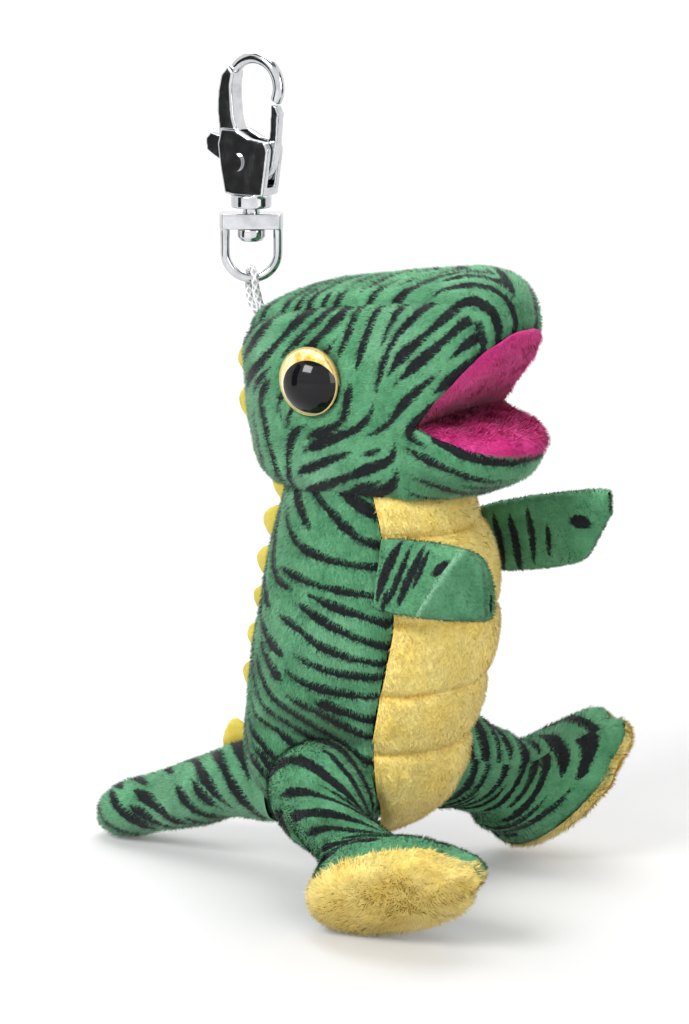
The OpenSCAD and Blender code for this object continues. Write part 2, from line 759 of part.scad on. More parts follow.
// A short coil under the gate's tab
module gate_spring() {
    turns = 3;
    steps = 36;
    coil = 0.42;
    wire = 0.13;
    floor_z = slot_low + wire + 0.05;
    rise = rivet_z - 1.5 - wire - floor_z;
    line = [
        for (i = [0:steps])
            [coil * cos(360 * turns * i / steps), coil * sin(360 * turns * i / steps), floor_z + rise * i / steps]
    ];
    color(steel) placed() translate([0, clasp_y + 3.5, 0]) loft([
        for (i = [0:steps])
            let (
                a = 360 * turns * i / steps,
                out = [cos(a), sin(a), 0]
            )
            [for (j = [0:5]) line[i] + wire * (out * cos(60 * j) + [0, 0, 1] * sin(60 * j))]
    ]);
}

body_cover();
belly_panel();
body_stuffing();
body_spikes();
head_cover();
head_top_panel();
head_stuffing();
head_spikes();
upper_mouth_lining();
lower_mouth_lining();
right_eye_dome();
left_eye_dome();
right_eye_base();
left_eye_base();
right_eye_washer();
left_eye_washer();
right_arm();
left_arm();
right_leg_cover();
left_leg_cover();
right_leg_stuffing();
left_leg_stuffing();
right_sole();
left_sole();
tail_cover();
tail_stuffing();
tail_spike();
hang_cord();
cord_knot();
d_ring();
swivel_pin();
hook_body();
gate();
gate_rivet();
gate_spring();
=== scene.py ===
"""Looks of a plush dinosaur keychain on a cord loop with a D-ring, a swivel and a spring-gate hook."""
import math

import bpy
import numpy as np
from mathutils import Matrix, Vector


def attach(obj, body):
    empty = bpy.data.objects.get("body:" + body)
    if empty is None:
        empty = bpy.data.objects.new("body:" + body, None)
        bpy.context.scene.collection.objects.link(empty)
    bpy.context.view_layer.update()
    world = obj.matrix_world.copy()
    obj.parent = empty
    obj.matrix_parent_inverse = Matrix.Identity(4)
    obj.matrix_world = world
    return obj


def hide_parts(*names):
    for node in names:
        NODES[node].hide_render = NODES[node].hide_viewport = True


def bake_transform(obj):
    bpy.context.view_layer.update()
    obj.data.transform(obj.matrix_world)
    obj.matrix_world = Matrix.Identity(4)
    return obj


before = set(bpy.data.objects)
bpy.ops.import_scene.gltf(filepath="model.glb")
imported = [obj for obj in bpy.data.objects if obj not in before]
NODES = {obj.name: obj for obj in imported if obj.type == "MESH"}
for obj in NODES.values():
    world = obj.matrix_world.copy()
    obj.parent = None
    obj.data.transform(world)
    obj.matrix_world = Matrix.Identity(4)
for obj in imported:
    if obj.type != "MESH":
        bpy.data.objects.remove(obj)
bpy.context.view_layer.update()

# Middle of the footprint and lowest point, between the drawing's millimetres and the frame
FOOTPRINT = np.array([1.25, 5.736, 0.085])


def metres(p):
    return (np.asarray(p, float) - FOOTPRINT) / 1000


# ---------------------------------------------------------------- camera
def back_of(azimuth, elevation):
    a, e = math.radians(azimuth), math.radians(elevation)
    return Vector((math.sin(a) * math.cos(e), -math.cos(a) * math.cos(e), math.sin(e)))


def make_camera():
    data = bpy.data.cameras.new("camera")
    data.lens, data.sensor_width = 154.3, 36
    data.clip_start, data.clip_end = 0.05, 20
    cam = bpy.data.objects.new("camera", data)
    bpy.context.scene.collection.objects.link(cam)
    away = back_of(-57, 12.5)
    cam.location = Vector(metres([0, 2.0, 61.6])) + away * 0.708
    cam.rotation_mode = "QUATERNION"
    cam.rotation_quaternion = away.to_track_quat("Z", "Y")
    bpy.context.scene.camera = cam


make_camera()
bpy.context.scene.view_settings.view_transform = "Standard"


# ---------------------------------------------------------------- numbers
def pchip(x, y, at):
    """Smooth curve through the rows of y at x, without overshoot, read at the values of at."""
    x, y = np.asarray(x, float), np.asarray(y, float)
    flat = y.ndim == 1
    if flat:
        y = y[:, None]
    h = np.diff(x)
    d = np.diff(y, axis=0) / h[:, None]
    m = np.zeros_like(y)
    m[0], m[-1] = d[0], d[-1]
    w1, w2 = (2 * h[1:] + h[:-1])[:, None], (h[1:] + 2 * h[:-1])[:, None]
    same = d[:-1] * d[1:] > 0
    a, b = np.where(same, d[:-1], 1), np.where(same, d[1:], 1)
    m[1:-1] = np.where(same, (w1 + w2) / (w1 / a + w2 / b), 0)
    at = np.clip(np.asarray(at, float), x[0], x[-1])
    i = np.clip(np.searchsorted(x, at, side="right") - 1, 0, len(x) - 2)
    t = ((at - x[i]) / h[i])[..., None]
    k = h[i][..., None]
    v = (
        y[i] * (1 + 2 * t) * (1 - t) ** 2
        + m[i] * k * t * (1 - t) ** 2
        + y[i + 1] * t * t * (3 - 2 * t)
        + m[i + 1] * k * t * t * (t - 1)
    )
    return v[..., 0] if flat else v


def smooth(lo, hi, v):
    t = np.clip((v - lo) / (hi - lo), 0, 1)
    return t * t * (3 - 2 * t)


def soft_min(a, b, k):
    return 0.5 * (a + b - np.sqrt((a - b) ** 2 + k * k))


def noise(p, size, seed=0):
    """Smooth value noise from -1 to 1 with features of the given size."""
    q = np.asarray(p, float) / size + 137.0 + 31.7 * seed
    cell = np.floor(q).astype(np.int64)
    f = q - cell
    f = f * f * (3 - 2 * f)
    total = 0
    for c in range(8):
        o = np.array([c & 1, c >> 1 & 1, c >> 2 & 1])
        k = cell + o
        n = (k[..., 0] * 73856093) ^ (k[..., 1] * 19349663) ^ (k[..., 2] * 83492791) ^ (seed * 2654435)
        n = (n ^ (n >> 13)) * 1274126177 & 0xFFFFFFFF
        n = ((n ^ (n >> 16)) & 0xFFFF) / 32767.5 - 1
        w = np.prod(np.where(o, f, 1 - f), axis=-1)
        total = total + n * w
    return total


def grid_normals(p, wrap):
    du = np.gradient(p, axis=0)
    if wrap:
        dv = (np.roll(p, -1, 1) - np.roll(p, 1, 1)) / 2
    else:
        dv = np.gradient(p, axis=1)
    n = np.cross(du, dv)
    size = np.linalg.norm(n, axis=-1, keepdims=True)
    return n / np.maximum(size, 1e-9)


def arc(p, axis):
    """Running length along an axis of a grid of points."""
    step = np.linalg.norm(np.diff(p, axis=axis), axis=-1)
    zero = np.zeros_like(np.take(step, [0], axis=axis))
    return np.concatenate([zero, np.cumsum(step, axis=axis)], axis=axis)


# ---------------------------------------------------------------- stripes
def near(point, taken, gap):
    if not taken:
        return False
    all_points = np.concatenate(taken)
    return bool((((all_points - point) ** 2).sum(1) < gap * gap).any())


def flow_stripes(direction, inside, box, gap, lengths, width, seed):
    """Evenly spaced tapered strokes that follow a flow: a list of (points, half widths) on a flat chart."""
    rng = np.random.default_rng(seed)
    step = 0.5
    xs = np.arange(box[0], box[1], gap * 0.45)
    ys = np.arange(box[2], box[3], gap * 0.45)
    seeds = np.array([(x, y) for x in xs for y in ys]) + rng.uniform(-0.4, 0.4, (len(xs) * len(ys), 2)) * gap
    rng.shuffle(seeds)
    taken, out = [], []
    for start in seeds:
        if not inside(*start) or near(start, taken, gap):
            continue
        want = rng.uniform(*lengths)
        halves, cut = [], []
        for sign in (1, -1):
            p, line, left = start.copy(), [], want * (0.5 + 0.2 * rng.uniform(-1, 1))
            open_end = False
            while left > 0:
                d = np.array(direction(*p), float)
                p = p + sign * step * d / np.linalg.norm(d)
                left -= step
                if not inside(*p):
                    open_end = True
                    line.append(p.copy())
                    break
                if near(p, taken, gap * 0.6):
                    break
                line.append(p.copy())
            halves.append(line)
            cut.append(open_end)
        points = np.array(halves[1][::-1] + [start] + halves[0])
        if len(points) < 8:
            continue
        run = np.arange(len(points)) * step
        fade = rng.uniform(2.2, 5.0)
        a = np.ones_like(run) if cut[1] else np.clip(run / fade, 0, 1) ** 0.7
        b = np.ones_like(run) if cut[0] else np.clip((run[-1] - run) / fade, 0, 1) ** 0.7
        w = width * rng.uniform(0.8, 1.2) * a * b
        w = w * (1 + 0.2 * np.sin(run * rng.uniform(0.3, 0.7) + rng.uniform(0, 6)))
        taken.append(points)
        out.append((points, w))
    return out


def strokes(*lines):
    """Tapered strokes given by their ends and bends: each line is (points, half width)."""
    out = []
    for points, width in lines:
        points = np.array(points, float)
        t = np.linspace(0, 1, 24)
        line = pchip(np.linspace(0, 1, len(points)), points, t)
        out.append((line, width * np.clip(np.minimum(t, 1 - t) / 0.3, 0.02, 1) ** 0.5))
    return out


def mark_distance(chart, stripes):
    """Signed distance in mm from each chart point to the nearest stroke's edge, negative inside it."""
    flat = chart.reshape(-1, 2).astype(np.float32)
    p = np.concatenate([s[0] for s in stripes]).astype(np.float32)
    w = np.concatenate([s[1] for s in stripes]).astype(np.float32)
    out = np.empty(len(flat), np.float32)
    for i in range(0, len(flat), 6000):
        d = flat[i : i + 6000, None, :] - p[None]
        out[i : i + 6000] = (np.sqrt((d * d).sum(-1)) - w).min(1)
    return np.clip(out, -2, 3).reshape(chart.shape[:-1])


# ---------------------------------------------------------------- node materials
class Nodes:
    """A small writer of node trees: each call makes a node, sets its values and returns it."""

    def __init__(self, name):
        self.m = bpy.data.materials.new(name)
        self.m.use_nodes = True
        self.t = self.m.node_tree
        self.t.nodes.clear()
        self.out = self.t.nodes.new("ShaderNodeOutputMaterial")

    def add(self, kind, inputs=None, **settings):
        n = self.t.nodes.new("ShaderNode" + kind)
        for k, v in settings.items():
            setattr(n, k, v)
        for k, v in (inputs or {}).items():
            if isinstance(v, bpy.types.NodeSocket):
                self.t.links.new(v, n.inputs[k])
            else:
                n.inputs[k].default_value = v
        return n

    def attribute(self, name):
        return self.add("Attribute", attribute_name=name).outputs["Fac"]

    def noise(self, scale, detail=2.0, roughness=0.5):
        coords = self.add("TexCoord").outputs["Object"]
        inputs = {"Vector": coords, "Scale": scale, "Detail": detail, "Roughness": roughness}
        return self.add("TexNoise", inputs).outputs[0]

    def math(self, operation, a, b=0.0):
        return self.add("Math", {0: a, 1: b}, operation=operation).outputs[0]

    def range(self, value, a, b, c, d):
        inputs = {"Value": value, "From Min": a, "From Max": b, "To Min": c, "To Max": d}
        return self.add("MapRange", inputs).outputs[0]

    def mix(self, factor, a, b, mode="MIX"):
        n = self.add("Mix", data_type="RGBA", blend_type=mode)
        for i, v in ((0, factor), (6, a), (7, b)):
            if isinstance(v, bpy.types.NodeSocket):
                self.t.links.new(v, n.inputs[i])
            else:
                n.inputs[i].default_value = v if i == 0 else (*v, 1)
        return n.outputs[2]

    def finish(self, inputs):
        bsdf = self.add("BsdfPrincipled", inputs)
        self.t.links.new(bsdf.outputs[0], self.out.inputs[0])
        return self.m


def plush(name, light, deep, root, dark=None, warm_tone_and_shade=None, sheen=0.35):
    """Short pile: colour drifts between light and deep, with painted shade towards the roots, marks in dark,
    and a warm colour that is random tone on some pieces and painted shade on others.
    """
    n = Nodes(name)
    drift = n.range(n.noise(220, 3.0, 0.6), 0.35, 0.65, 0, 1)
    colour = n.mix(drift, deep, light)
    # The warm colour: random tone on the body, head, legs, tail and soles, the pale fringe on the folded arm,
    # and painted shade in the belly's stitches, the mouth's crease and the felt's roots.
    if warm_tone_and_shade:
        colour = n.mix(n.attribute("warm_tone_and_shade"), colour, warm_tone_and_shade)
    if dark:
        edge = n.math("ADD", n.attribute("mark"), n.range(n.noise(1500, 2.0), 0.3, 0.7, -0.16, 0.16))
        colour = n.mix(n.range(edge, -0.12, 0.14, 1, 0), colour, dark)
    # Painted shade in the pile: darker towards black at the fibres' roots and on the cover beneath them, by
    # up to root.
    colour = n.mix(n.range(n.attribute("tip"), 0, 1, root, 0), colour, (0.0, 0.0, 0.0))
    value = n.range(n.attribute("tone"), -1.6, 1, 0.46, 1.22)
    colour = n.mix(1.0, colour, n.add("CombineColor", {0: value, 1: value, 2: value}).outputs[0], "MULTIPLY")
    fine = n.noise(3200, 3.0)
    bump = n.add("Bump", {"Strength": 0.5, "Distance": 0.0002, "Height": fine}).outputs[0]
    return n.finish({
        "Base Color": colour,
        "Roughness": n.range(fine, 0.2, 0.8, 0.72, 0.95),
        "Normal": bump,
        "Sheen Weight": sheen,
        "Sheen Roughness": 0.45,
        "Specular IOR Level": 0.25,
    })


GREEN_DARK = (0.006, 0.010, 0.011)
# The number after the two pile colours is how far the painted root shade darkens.
M_GREEN = plush("green_plush", (0.140, 0.430, 0.215), (0.075, 0.300, 0.135), 0.42, GREEN_DARK,
                (0.27, 0.58, 0.36), 0.12)
M_YELLOW = plush("yellow_plush", (0.93, 0.76, 0.26), (0.86, 0.66, 0.17), 0.16,
                warm_tone_and_shade=(0.74, 0.47, 0.06), sheen=0.15)
M_PINK = plush("pink_plush", (0.86, 0.060, 0.34), (0.74, 0.030, 0.25), 0.35,
               warm_tone_and_shade=(0.46, 0.008, 0.13), sheen=0.1)
M_FELT = plush("yellow_felt", (0.80, 0.66, 0.11), (0.70, 0.57, 0.08), 0.3, warm_tone_and_shade=(0.5, 0.38, 0.04), sheen=0.3)


# ---------------------------------------------------------------- meshes
def build_mesh(name, points, faces, material, attributes, smooth_shade=True):
    """points in the drawing's millimetres, faces all of one size, attributes a value per point."""
    mesh = bpy.data.meshes.new(name)
    points = metres(points)
    n, k = faces.shape
    mesh.vertices.add(len(points))
    mesh.vertices.foreach_set("co", points.astype(np.float32).ravel())
    mesh.loops.add(n * k)
    mesh.loops.foreach_set("vertex_index", faces.astype(np.int32).ravel())
    mesh.polygons.add(n)
    mesh.polygons.foreach_set("loop_start", (np.arange(n) * k).astype(np.int32))
    mesh.polygons.foreach_set("use_smooth", np.full(n, smooth_shade))
    mesh.update(calc_edges=True)
    for key, values in attributes.items():
        values = np.asarray(values, np.float32).ravel()
        mesh.attributes.new(key, "FLOAT", "POINT").data.foreach_set("value", values)
    mesh.materials.append(material)
    mesh.validate()
    obj = bpy.data.objects.new(name, mesh)
    bpy.context.scene.collection.objects.link(obj)
    return obj


def grid_faces(m, n, wrap):
    i, j = np.meshgrid(np.arange(m - 1), np.arange(n if wrap else n - 1), indexing="ij")
    k = (j + 1) % n
    return np.stack([i * n + j, i * n + k, (i + 1) * n + k, (i + 1) * n + j], -1).reshape(-1, 4)


def settle(obj, place, replaces=()):
    """Puts a piece on its body, or else bakes its place into the mesh and parents it to nothing: place is a
    body, or (a, b, start, end), whose parts are not used.
    """
    if isinstance(place, str):
        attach(obj, place)
    else:
        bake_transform(obj)
    if replaces:
        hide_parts(*replaces)
    return obj


def fibres(name, p, normal, attributes, nap, wrap, material, place, density,
           length, width, lean, seed, keep=None, shift=None):
    """Short pile over a grid of points: one thin blade per fibre, leaning along the nap."""
    rng = np.random.default_rng(seed)
    m, n = p.shape[:2]
    f = grid_faces(m, n, wrap)
    flat, nf = p.reshape(-1, 3), normal.reshape(-1, 3)
    q = flat[f]
    area = np.linalg.norm(np.cross(q[:, 2] - q[:, 0], q[:, 3] - q[:, 1]), axis=1) / 2
    if keep is not None:
        area = area * keep.reshape(-1)[f].mean(1)
    count = int(area.sum() * density)
    count = min(count, 190000)
    pick = rng.choice(len(f), count, p=area / area.sum())
    u, v = rng.random((2, count, 1))
    w = np.stack([(1 - u) * (1 - v), u * (1 - v), u * v, (1 - u) * v], 1)
    at = lambda values: (values.reshape(len(flat), -1)[f[pick]] * w).sum(1)
    root, up = at(flat), at(nf)
    up /= np.linalg.norm(up, axis=1, keepdims=True)
    flow = at(nap)
    flow = flow - (flow * up).sum(1, keepdims=True) * up
    flow /= np.maximum(np.linalg.norm(flow, axis=1, keepdims=True), 1e-6)
    sway = noise(root, 1.6, seed)[:, None]
    side = np.cross(up, flow)
    flow = flow + side * (0.75 * sway + rng.normal(0, 0.35, (count, 1)))
    flow /= np.linalg.norm(flow, axis=1, keepdims=True)
    tilt = np.radians(lean + rng.normal(0, 13, (count, 1)) + 10 * noise(root, 3.1, seed + 5)[:, None])
    d = up * np.cos(tilt) + flow * np.sin(tilt)
    long = length * (0.8 + 0.4 * rng.random((count, 1)))
    across = np.cross(d, up)
    across /= np.maximum(np.linalg.norm(across, axis=1, keepdims=True), 1e-6)
    turn = rng.normal(0, 0.5, (count, 1))
    across = across * np.cos(turn) + np.cross(d, across) * np.sin(turn)
    base = root - up * 0.12
    verts = np.stack([base - across * width / 2, base + across * width / 2, base + d * long], 1)
    tone = rng.normal(0, 0.4, count) + 0.45 * noise(root, 4.5, seed + 9)
    if shift is not None:
        tone = tone + at(shift)[:, 0]
    tone = np.repeat(np.clip(tone, -1.6, 1), 3)
    # tip is 0.25 at a blade's root, for painted shade deep in the pile, and 1 at its end.
    data = {"tip": np.tile([0.25, 0.25, 1.0], count), "tone": tone}
    for key, values in attributes.items():
        value = at(values)[:, 0]
        if key == "mark":
            value = value + rng.normal(0, 0.09, count)
        data[key] = np.repeat(value, 3)
    faces = np.arange(count * 3).reshape(-1, 3)
    obj = build_mesh(name, verts.reshape(-1, 3), faces, material, data)
    shade = up * 0.8 + d * 0.35
    shade /= np.linalg.norm(shade, axis=1, keepdims=True)
    obj.data.normals_split_custom_set_from_vertices(np.repeat(shade, 3, axis=0).tolist())
    return settle(obj, place)


def soft_piece(name, p, material, place, replaces, attributes=None, wrap=False,
               nap=(0, 0, -1), out=None,
               density=15, length=0.9, width=0.13, lean=56, seed=1, keep=None, shift=None):
    """A cloth surface with its pile: p is a grid of points in millimetres, rows by columns."""
    attributes = dict(attributes or {})
    m, n = p.shape[:2]
    normal = grid_normals(p, wrap)
    away = p - p.mean((0, 1)) if out is None else np.broadcast_to(np.asarray(out, float), p.shape)
    flip = (normal * away).sum() < 0
    if flip:
        normal = -normal
    rough = 0.05 * noise(p, 0.7, seed)
    p = p + normal * rough[..., None]
    faces = grid_faces(m, n, wrap)
    if not flip:
        faces = faces[:, ::-1]
    tone = 0.25 * noise(p, 4.5, seed + 9) + (0 if shift is None else shift)
    # tip 0.2 gives the cover under the pile the painted shade of the fibre roots.
    shown = {"tip": np.full((m, n), 0.2), "tone": tone, **attributes}
    cover = build_mesh(name, p.reshape(-1, 3), faces, material, shown)
    settle(cover, place, replaces)
    nap = np.broadcast_to(np.asarray(nap, float), p.shape)
    fibres(name + "_pile", p, normal, attributes, nap, wrap, material, place, density,
           length, width, lean, seed, keep, shift)
    return cover


def occupied(chart):
    """A test for whether a chart point lies on the piece, from the chart's own points."""
    cells = set(map(tuple, np.floor(chart.reshape(-1, 2) / 1.2).astype(int).tolist()))
    return lambda x, y: (math.floor(x / 1.2), math.floor(y / 1.2)) in cells


def box_of(chart):
    lo, hi = chart.reshape(-1, 2).min(0), chart.reshape(-1, 2).max(0)
    return lo[0], hi[0], lo[1], hi[1]


# ---------------------------------------------------------------- trunk
# Height, middle of the depth, half width, half depth
TRUNK = np.array([
    [10, 0.5, 0.4, 0.4], [10.2, 0.5, 4, 4], [11, 0.5, 8, 8], [13, 0.4, 11.5, 12], [17, 0.2, 15.5, 16],
    [22, -0.2, 17.6, 17.8], [28, -1, 18.5, 18.4], [34, -2.2, 19, 19], [41, -3.6, 18.8, 19.3],
    [48, -4.8, 18, 19.3], [55, -5, 16.9, 18.5], [61, -4.7, 15.6, 16.8], [65, -4.4, 14.6, 15.4],
    [68.4, -4, 14.2, 14.6],
])
BELLY_EDGE = np.array([[10, 30], [14, 38], [20, 46], [29, 51], [48, 52], [56, 55], [68.4, 60]])
BELLY_STITCHES = (61.8, 48.1, 36.2, 26.1)


def trunk_surface(z, degrees):
    yc, hx, hy = np.moveaxis(pchip(TRUNK[:, 0], TRUNK[:, 1:], z), -1, 0)
    a = np.radians(degrees)
    x, y = hx * np.cos(a), yc + hy * np.sin(a)
    flat_x = 14.5 + np.maximum(z - 28, 0) * 0.7
    flat_y = 14.6 + np.maximum(z - 23, 0) * 0.7
    return np.stack([np.sign(x) * soft_min(np.abs(x), flat_x, 0.9), soft_min(y, flat_y, 0.9), z], -1)


def trunk_grid(lo_of, hi_of, rows, columns):
    z = 10.05 + (68.4 - 10.05) * np.linspace(0, 1, rows)[:, None] ** 1.15
    f = np.linspace(0, 1, columns)[None]
    belly = np.interp(z, BELLY_EDGE[:, 0], BELLY_EDGE[:, 1])
    lo, hi = lo_of(belly), hi_of(belly)
    z = z + 0 * f
    return trunk_surface(z, lo + (hi - lo) * f), z


def body_flow(u, z):
    f = np.clip(abs(u) / 34, 0, 1)
    lower = smooth(46, 26, z)
    slope = -2.3 * (1 - f) ** 2.2 - 0.22 - 0.45 * lower * (1 - f * 0.6)
    slope += 0.38 * noise(np.array([u, z, 3.0]), 9, 4)
    return (1.0, slope) if u > 0 else (-1.0, slope)


def body():
    p, z = trunk_grid(lambda b: -90 + b + 1.2, lambda b: 270 - b - 1.2, 170, 290)
    s = arc(p, 1)
    total = s[:, -1:]
    u = s - total / 2
    edge = np.minimum(s, total - s)
    normal = grid_normals(p, False)
    away = p - [0, -2, 40]
    normal = normal * np.sign((normal * away).sum())
    lift = 0.32 * noise(p, 9, 2) + 0.14 * noise(p, 4.2, 3)
    lift = lift - 0.85 * np.exp(-((edge / 1.0) ** 2)) - 0.55 * np.exp(-((u / 0.9) ** 2)) * (z > 20)
    lift = lift - 0.9 * smooth(65.5, 68.4, z)
    p = p + normal * lift[..., None]
    chart = np.stack([u, z], -1)
    inside = occupied(chart)
    marks = []
    for side, seed in ((1, 11), (-1, 12)):
        ok = lambda x, y, side=side: x * side > 0.3 and inside(x, y) and inside(x + 1.3 * side, y)
        marks += flow_stripes(body_flow, ok, box_of(chart), 2.75, (16, 52), 0.76, seed)
    shade = 0.5 * noise(p, 13, 5) + 0.1
    soft_piece("body_plush", p, M_GREEN, "toy", ("body_cover", "body_stuffing"),
               {"mark": mark_distance(chart, marks), "warm_tone_and_shade": np.clip(shade, 0, 0.6)},
               nap=(0, 0.1, -1), seed=21, density=17)


def belly():
    p, z = trunk_grid(lambda b: -90 - b - 0.4, lambda b: -90 + b + 0.4, 150, 110)
    s = arc(p, 1)
    edge = np.minimum(s, s[:, -1:] - s)
    wave = 0.5 * noise(p * [1, 1, 0], 8, 6)
    gaps = np.stack([z + wave - h for h in BELLY_STITCHES])
    near_stitch = np.abs(gaps).min(0)
    puff = 0.75 * np.clip(near_stitch / 4.5, 0, 1) ** 0.6
    lift = puff - 0.4 * np.exp(-((near_stitch / 0.8) ** 2))
    lift = lift - 0.7 * np.exp(-((edge / 0.9) ** 2)) + 0.22 * noise(p, 5, 7)
    lift = lift - 0.9 * smooth(65.5, 68.4, z)
    normal = grid_normals(p, False)
    normal = normal * np.sign((normal * (p - [0, -2, 40])).sum())
    p = p + normal * lift[..., None]
    # Painted shade: darker ochre in the stitch grooves, in random patches, and along the panel's edge seams,
    # plus a little random warm tone.
    patch = np.clip(0.5 + 0.9 * noise(p, 3.2, 8), 0, 1)
    warm_tone_and_shade = np.exp(-((near_stitch / 0.55) ** 2)) * patch * 0.9 + 0.22 * np.clip(noise(p, 7, 9), 0, 1)
    warm_tone_and_shade = warm_tone_and_shade + 0.3 * np.exp(-((edge / 0.6) ** 2))
    soft_piece("belly_plush", p, M_YELLOW, "toy", ("belly_panel",),
               {"warm_tone_and_shade": warm_tone_and_shade}, nap=(0, 0, -1),
               out=(0, -1, 0), seed=22, density=17, length=0.85)


# ---------------------------------------------------------------- head
# Half width, side y and z, top y and z, bottom y and z, from the back of the skull to the lips
SKULL = np.array([
    [0.4, 17.7, 82, 17.7, 82.4, 17.7, 81.6],
    [3, 17.6, 82, 17.6, 85, 17.6, 79],
    [7.6, 15.8, 82, 17, 90, 15.8, 74],
    [11.9, 12.2, 82, 14.4, 94.6, 11.4, 64],
    [14.6, 7, 82.4, 9, 97.6, 6, 56],
    [15.4, 0.5, 82.6, 2, 99.8, 0, 52],
    [15.4, -6, 82.6, -7, 101.2, -7, 53],
    [15, -12, 82, -15, 102.6, -13, 58],
    [14.2, -16.5, 81.4, -22, 103.6, -20, 66.4],
    [13.8, -18.8, 80.6, -27, 102.6, -26.5, 68.6],
    [13.5, -19.4, 80.2, -30.2, 99, -31, 71.4],
    [13.2, -19.6, 80, -31.2, 94.4, -32.9, 75.4],
])
EYE = np.array([15.5, -1.8, 86])
GUSSET = 38
# Heights from which the cheeks' stripes are laid out
CROWN, MOUTH_CORNER = 100, 80


def skull_surface(s, degrees):
    hx, y0, z0, ty, tz, by, bz = np.moveaxis(pchip(np.arange(12), SKULL, s), -1, 0)
    a = np.radians(degrees)
    up = np.sin(a) > 0
    across = np.sign(np.cos(a)) * np.abs(np.cos(a)) ** 0.82
    away = np.abs(np.sin(a)) ** 0.82
    y = y0 + (np.where(up, ty, by) - y0) * away
    z = z0 + (np.where(up, tz, bz) - z0) * away
    x = hx * across
    z = np.maximum(z, 67.7)
    tuck = 1 - 0.10 * np.clip((70.6 - z) / 3, 0, 1) ** 2 * (y > -16)
    return np.stack([x * tuck, -4 + (y + 4) * tuck, z], -1)


def head_rows(count):
    s = np.linspace(0, 11, 1200)
    sample = np.stack([skull_surface(s, np.full_like(s, d)) for d in (90, 45, 0, 315)], 1)
    run = arc(sample, 0).mean(1)
    return np.interp(np.linspace(0, run[-1], count), run, s)


def head():
    s = head_rows(190)[:, None]
    degrees = np.linspace(0, 360, 320, endpoint=False)[None] + 90
    degrees = degrees + 0 * s
    s = s + 0 * degrees
    p = skull_surface(s, degrees)
    run = arc(p, 1)
    total = run[:, -1:] + np.linalg.norm(p[:, :1] - p[:, -1:], axis=-1)
    w = np.minimum(run, total - run)
    side = np.sign(np.cos(np.radians(degrees)))
    turn = np.abs((degrees - 90 + 180) % 360 - 180)
    seam_column = int(round(GUSSET / 360 * 320))
    seam_w = run[:, seam_column : seam_column + 1]
    off_seam = np.abs(w - seam_w)
    normal = grid_normals(p, True)
    normal = normal * np.sign((normal * (p - [0, -6, 84])).sum())
    fade = smooth(0.2, 1.4, s)
    lift = (0.30 * noise(p, 8, 12) + 0.13 * noise(p, 3.8, 13)) * fade
    lift = lift - 0.6 * np.exp(-((off_seam / 0.9) ** 2)) * fade * smooth(10.9, 10.3, s)
    lift = lift + 0.35 * np.exp(-(((off_seam - 2.2) / 1.4) ** 2)) * fade
    eye_far = np.hypot(p[..., 1] - EYE[1], p[..., 2] - EYE[2])
    lift = lift - 0.5 * smooth(6.2, 4.6, eye_far) + 0.35 * np.exp(-(((eye_far - 6.8) / 1.1) ** 2))
    lift = lift - 0.5 * smooth(10.6, 11, s)
    p = p + normal * lift[..., None]
    q = -p[..., 1]
    chart = np.stack([q, w * side], -1)
    profile = np.stack([q, CROWN - p[..., 2]], -1)

    def cheek_flow(a, c):
        down, jaw = c - (CROWN - EYE[2]), c - (CROWN - MOUTH_CORNER)
        angle = 52 + 9 * noise(np.array([a, c, 1.0]), 6, 14) + 8 * noise(np.array([a, c, 1.0]), 12, 17)
        for weight, toward in (
            (smooth(3, 8, a) * smooth(19, 13, a) * smooth(8, 3, down), 80),
            (smooth(3, 8, down) * smooth(-6, 2, a), 24),
            (smooth(2, 6, down) * smooth(0, -5, a), 104),
            (smooth(14, 19, a) * smooth(-1, 2, jaw), 155),
        ):
            angle += (toward - angle) * weight
        angle = math.radians(angle)
        return (-math.cos(angle), math.sin(angle))

    def top_flow(a, b):
        lean = 0.35 + 1.0 * smooth(2, 24, a) + 0.4 * noise(np.array([a, b, 5.0]), 7, 15)
        return (-lean * (1 if b > 0 else -1), 1.0)

    top = turn < GUSSET
    mark = np.full(w.shape, 3.0)
    for mask, flat, flow, gap, seed in (
        (top, chart, top_flow, 2.3, 31),
        (~top & (side < 0), profile, cheek_flow, 2.2, 32),
        (~top & (side > 0), profile, cheek_flow, 2.2, 33),
    ):
        part = flat[mask]
        marks = flow_stripes(flow, occupied(part), box_of(part), gap, (9, 34), 0.68, seed)
        mark[mask] = mark_distance(part, marks)
    nap = np.stack([0.15 * side, np.ones_like(w), -0.55 * np.ones_like(w)], -1)
    soft_piece("head_plush", p, M_GREEN, "toy",
               ("head_cover", "head_top_panel", "head_stuffing"),
               {"mark": mark, "warm_tone_and_shade": np.clip(0.5 * noise(p, 12, 16) + 0.05, 0, 0.6)},
               wrap=True, nap=nap, seed=23,
               density=17, keep=(eye_far > 5.0).astype(float))


